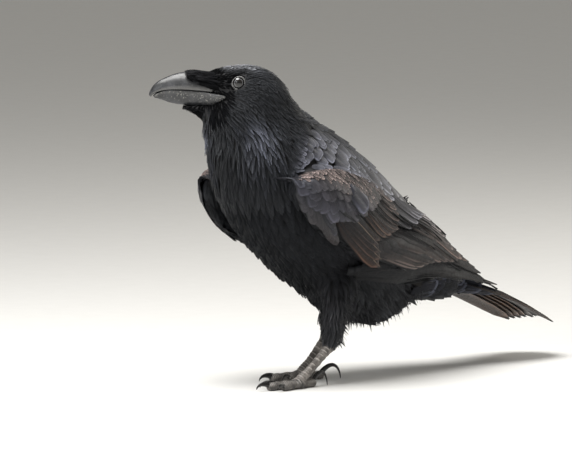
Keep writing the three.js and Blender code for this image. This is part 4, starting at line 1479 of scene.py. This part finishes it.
RING_RADIUS = 4.9  # where "ring" is 1
LID_RADIUS, LID_THICKNESS = 6.5, 0.42
LID_SPREAD = 10.6
LID_SPOTS = ((1.6, -8.4, 1.5), (3.4, -7.8, 1.0), (-0.6, -8.0, 1.1))  # bare skin: (ahead, up, size)
SPOT_SPREAD, SPOT_THICKNESS = 18.9, 1.2


def eyeball():
    bm = bmesh.new()
    bmesh.ops.create_uvsphere(bm, u_segments=40, v_segments=28, radius=EYE_RADIUS * MM)
    ring = bm.verts.layers.float.new("ring")
    for v in bm.verts:
        v[ring] = math.hypot(v.co.x, v.co.y) / (RING_RADIUS * MM)
    return bm


def eyelid_ring():
    bm = bmesh.new()
    major, minor = LID_RADIUS * MM, LID_THICKNESS * MM
    bmesh.ops.create_grid(bm, x_segments=44, y_segments=10, size=0.5)
    for v in bm.verts:
        a, b = (v.co.x + 0.5) * math.tau, (v.co.y + 0.5) * math.tau
        reach = major + minor * math.cos(b) * (1 + 0.7 * math.cos(a) ** 2)
        lift = (EYE_SPREAD - LID_SPREAD) * MM + minor * 0.9 * math.sin(b)
        v.co = (reach * math.cos(a) * 1.06, reach * math.sin(a) * 0.97, lift)
    bmesh.ops.remove_doubles(bm, verts=bm.verts, dist=1e-6)
    return bm


def make_eyes():
    eye, lid = eye_material(), lid_material()
    for side, word in SIDES.items():
        turn = Vector((0, 0, 1)).rotation_difference(Vector(HEAD_LEFT * -side)).to_matrix().to_4x4()
        place = Matrix.Translation(to_frame(in_head(0, 0, -side * EYE_SPREAD))) @ turn
        bm = eyeball()
        bm.transform(place)
        keep(bm, f"eyeball_{word}", eye, "eye", f"eye_{word}")
        bm = eyelid_ring()
        bm.transform(place)
        for forward, rise, size in LID_SPOTS:
            spot = Matrix.Translation(to_frame(in_head(forward, rise, -side * SPOT_SPREAD))) @ turn
            flat = Matrix.Diagonal((size * MM, size * MM, SPOT_THICKNESS * MM, 1))
            bmesh.ops.create_icosphere(bm, subdivisions=3, radius=1, matrix=spot @ flat)
        keep(bm, f"eyelids_{word}", lid, "scaled_skin")


# ---------- legs ----------
# Each toe's turn, length and thickness, and its claw's length, arch and height of tip.
TOES = (
    ("middle", 0, 37, 4.5, 17, 2.2, 1.9),
    ("inner", -27, 25, 4.3, 16, 2.4, 1.9),
    ("outer", 25, 29, 4.2, 14, 1.8, 1.9),
    ("rear", 192, 27, 4.8, 23, 7, -0.7),
)
PAD_REACH, PAD_HEIGHT, PAD_DROP = 8.0, 4.6, 4.5
# Sections from the pad's rear to its front, (share of its reach, half width, rise), and from the foot to
# the ankle, (share of the way, lift, half width, half depth).
PAD = ((-1, 3, 2), (-0.6, 7, 4.6), (0, 8.2, 6), (0.6, 6.4, 4.2), (1, 2.5, 1.8))
SHANK = (
    (0.0, 5.5, 5.2, 5.2),
    (0.14, 4.4, 4.6, 5.2),
    (0.35, 2.2, 3.7, 4.6),
    (0.7, 1, 3.9, 4.8),
    (0.92, 0, 5, 5.6),
    (1.04, -1, 4.4, 4.6),
)


def foot_at(side):
    return np.array([side * STRIDE, side * STANCE, 0.0])


def heading(degrees):
    a = math.radians(degrees)
    return np.array([-math.cos(a), math.sin(a), 0]), np.array([-math.sin(a), -math.cos(a), 0])


def toe_rings(side, turn, long, thick):
    ahead, left = heading(FOOT_TURN + side * turn)
    rings = []
    for i in range(9):
        share = i / 8
        swell = 1 + 0.07 * math.cos(math.tau * share * 2.5)
        radius = thick * (1 - 0.1 * share) * swell * (0.72 if i == 8 else 1)
        height = thick * 0.82 + 1.6 * (1 - share)
        at = foot_at(side) + ahead * (3 + (long - 2.5) * share) + UP * height
        rings.append((at, -left, radius, radius, min(radius, height - 0.05), 0))
    return rings


def claw_rings(side, turn, long, thick, claw, arch, tip):
    ahead, left = heading(FOOT_TURN + side * turn)
    rings = []
    for i in range(8):
        share = i / 7
        radius = thick * 0.62 * (1 - share**1.2) + 0.35 * share**1.2
        base = thick * 0.95
        height = base + arch * math.sin(math.pi * share**0.9) * 1.6 + (tip - base) * share**2
        reach = long - 4 + (claw + 2) * math.sin(math.pi / 2 * share * 0.97)
        rings.append((foot_at(side) + ahead * reach + UP * height, -left, radius * 0.72, radius, radius, 0))
    return rings


def shank_rings(side):
    back, outwards, up = ANKLE[side]
    reach = np.array([back, side * outwards, up], float)
    rings = []
    for share, lift, wide, deep in SHANK:
        rings.append((foot_at(side) + reach * share + UP * lift, (0, -1, 0), wide, deep, deep, 0))
    return rings


def pad_rings(side):
    ahead, _ = heading(FOOT_TURN)
    rings = []
    for share, wide, rise in PAD:
        at = foot_at(side) - ahead * PAD_REACH * share + UP * PAD_HEIGHT
        rings.append((at, (0, -1, 0), wide, rise, PAD_DROP, 0))
    return rings


def scutes(count, depth):
    """Overlapping plates along the front or top of a limb, and low pads behind or below."""

    def carve(t, across, lift):
        plate = (t * count) % 1
        face = np.clip(lift * 1.6 + 0.45, 0, 1)
        pads = 0.5 + 0.5 * np.cos(t * count * 0.8 * math.tau)
        scale = 1 + depth * ((plate**1.5 - 0.3) * face + 0.7 * (pads - 0.4) * (1 - face))
        return across * scale, lift * scale, 0.3 * (1 - face) + plate * face

    return carve


def rest_on_floor(bm):
    for v in bm.verts:
        v.co.z = max(v.co.z, 0)


def make_legs():
    # Painted light: the tarsi and toes are toned paler than their own dark grey, standing in for light
    # thrown up from the ground.
    shank_scutes = scale_material("tarsus_scutes_with_painted_bounce_light", (78, 74, 71), (136, 130, 125), (196, 190, 184))
    toe_scutes = scale_material("toe_scutes", (60, 58, 56), (110, 106, 102), (182, 177, 172))
    claw_horn = claw_material()
    for side, word in SIDES.items():
        shank, toes, claws = bmesh.new(), bmesh.new(), bmesh.new()
        add_loft(shank, shank_rings(side), 28, 110, scutes(17, 0.14))
        for _, turn, long, thick, *claw in TOES:
            add_loft(toes, toe_rings(side, turn, long, thick), 24, 90, scutes(round(long / 2.1), 0.16))
            add_loft(claws, claw_rings(side, turn, long, thick, *claw), 20, 32)
        add_loft(toes, pad_rings(side), 28, 40, scutes(7, 0.12))
        rest_on_floor(toes)
        rest_on_floor(claws)
        toe_nodes = [f"toe_{toe[0]}_{word}" for toe in TOES]
        claw_nodes = [f"claw_{toe[0]}_{word}" for toe in TOES]
        keep(shank, f"scaled_tarsus_{word}", shank_scutes, "scaled_skin", f"tarsus_{word}")
        keep(toes, f"scaled_foot_{word}", toe_scutes, "scaled_skin", f"foot_{word}", *toe_nodes)
        keep(claws, f"claws_{word}", claw_horn, "claw", *claw_nodes)


# ---------- the model ----------
set_lights(*set_camera())
lay_floor()
surface = Surface(make_skin())
plumage, velvet = make_coat(surface)
make_mantle(surface, plumage)
make_plumes(surface, plumage)
make_bristles(surface, velvet)
flight = make_wings()
make_tail(flight)
make_tail_coverts(surface, velvet)
make_bill()
make_eyes()
make_legs()
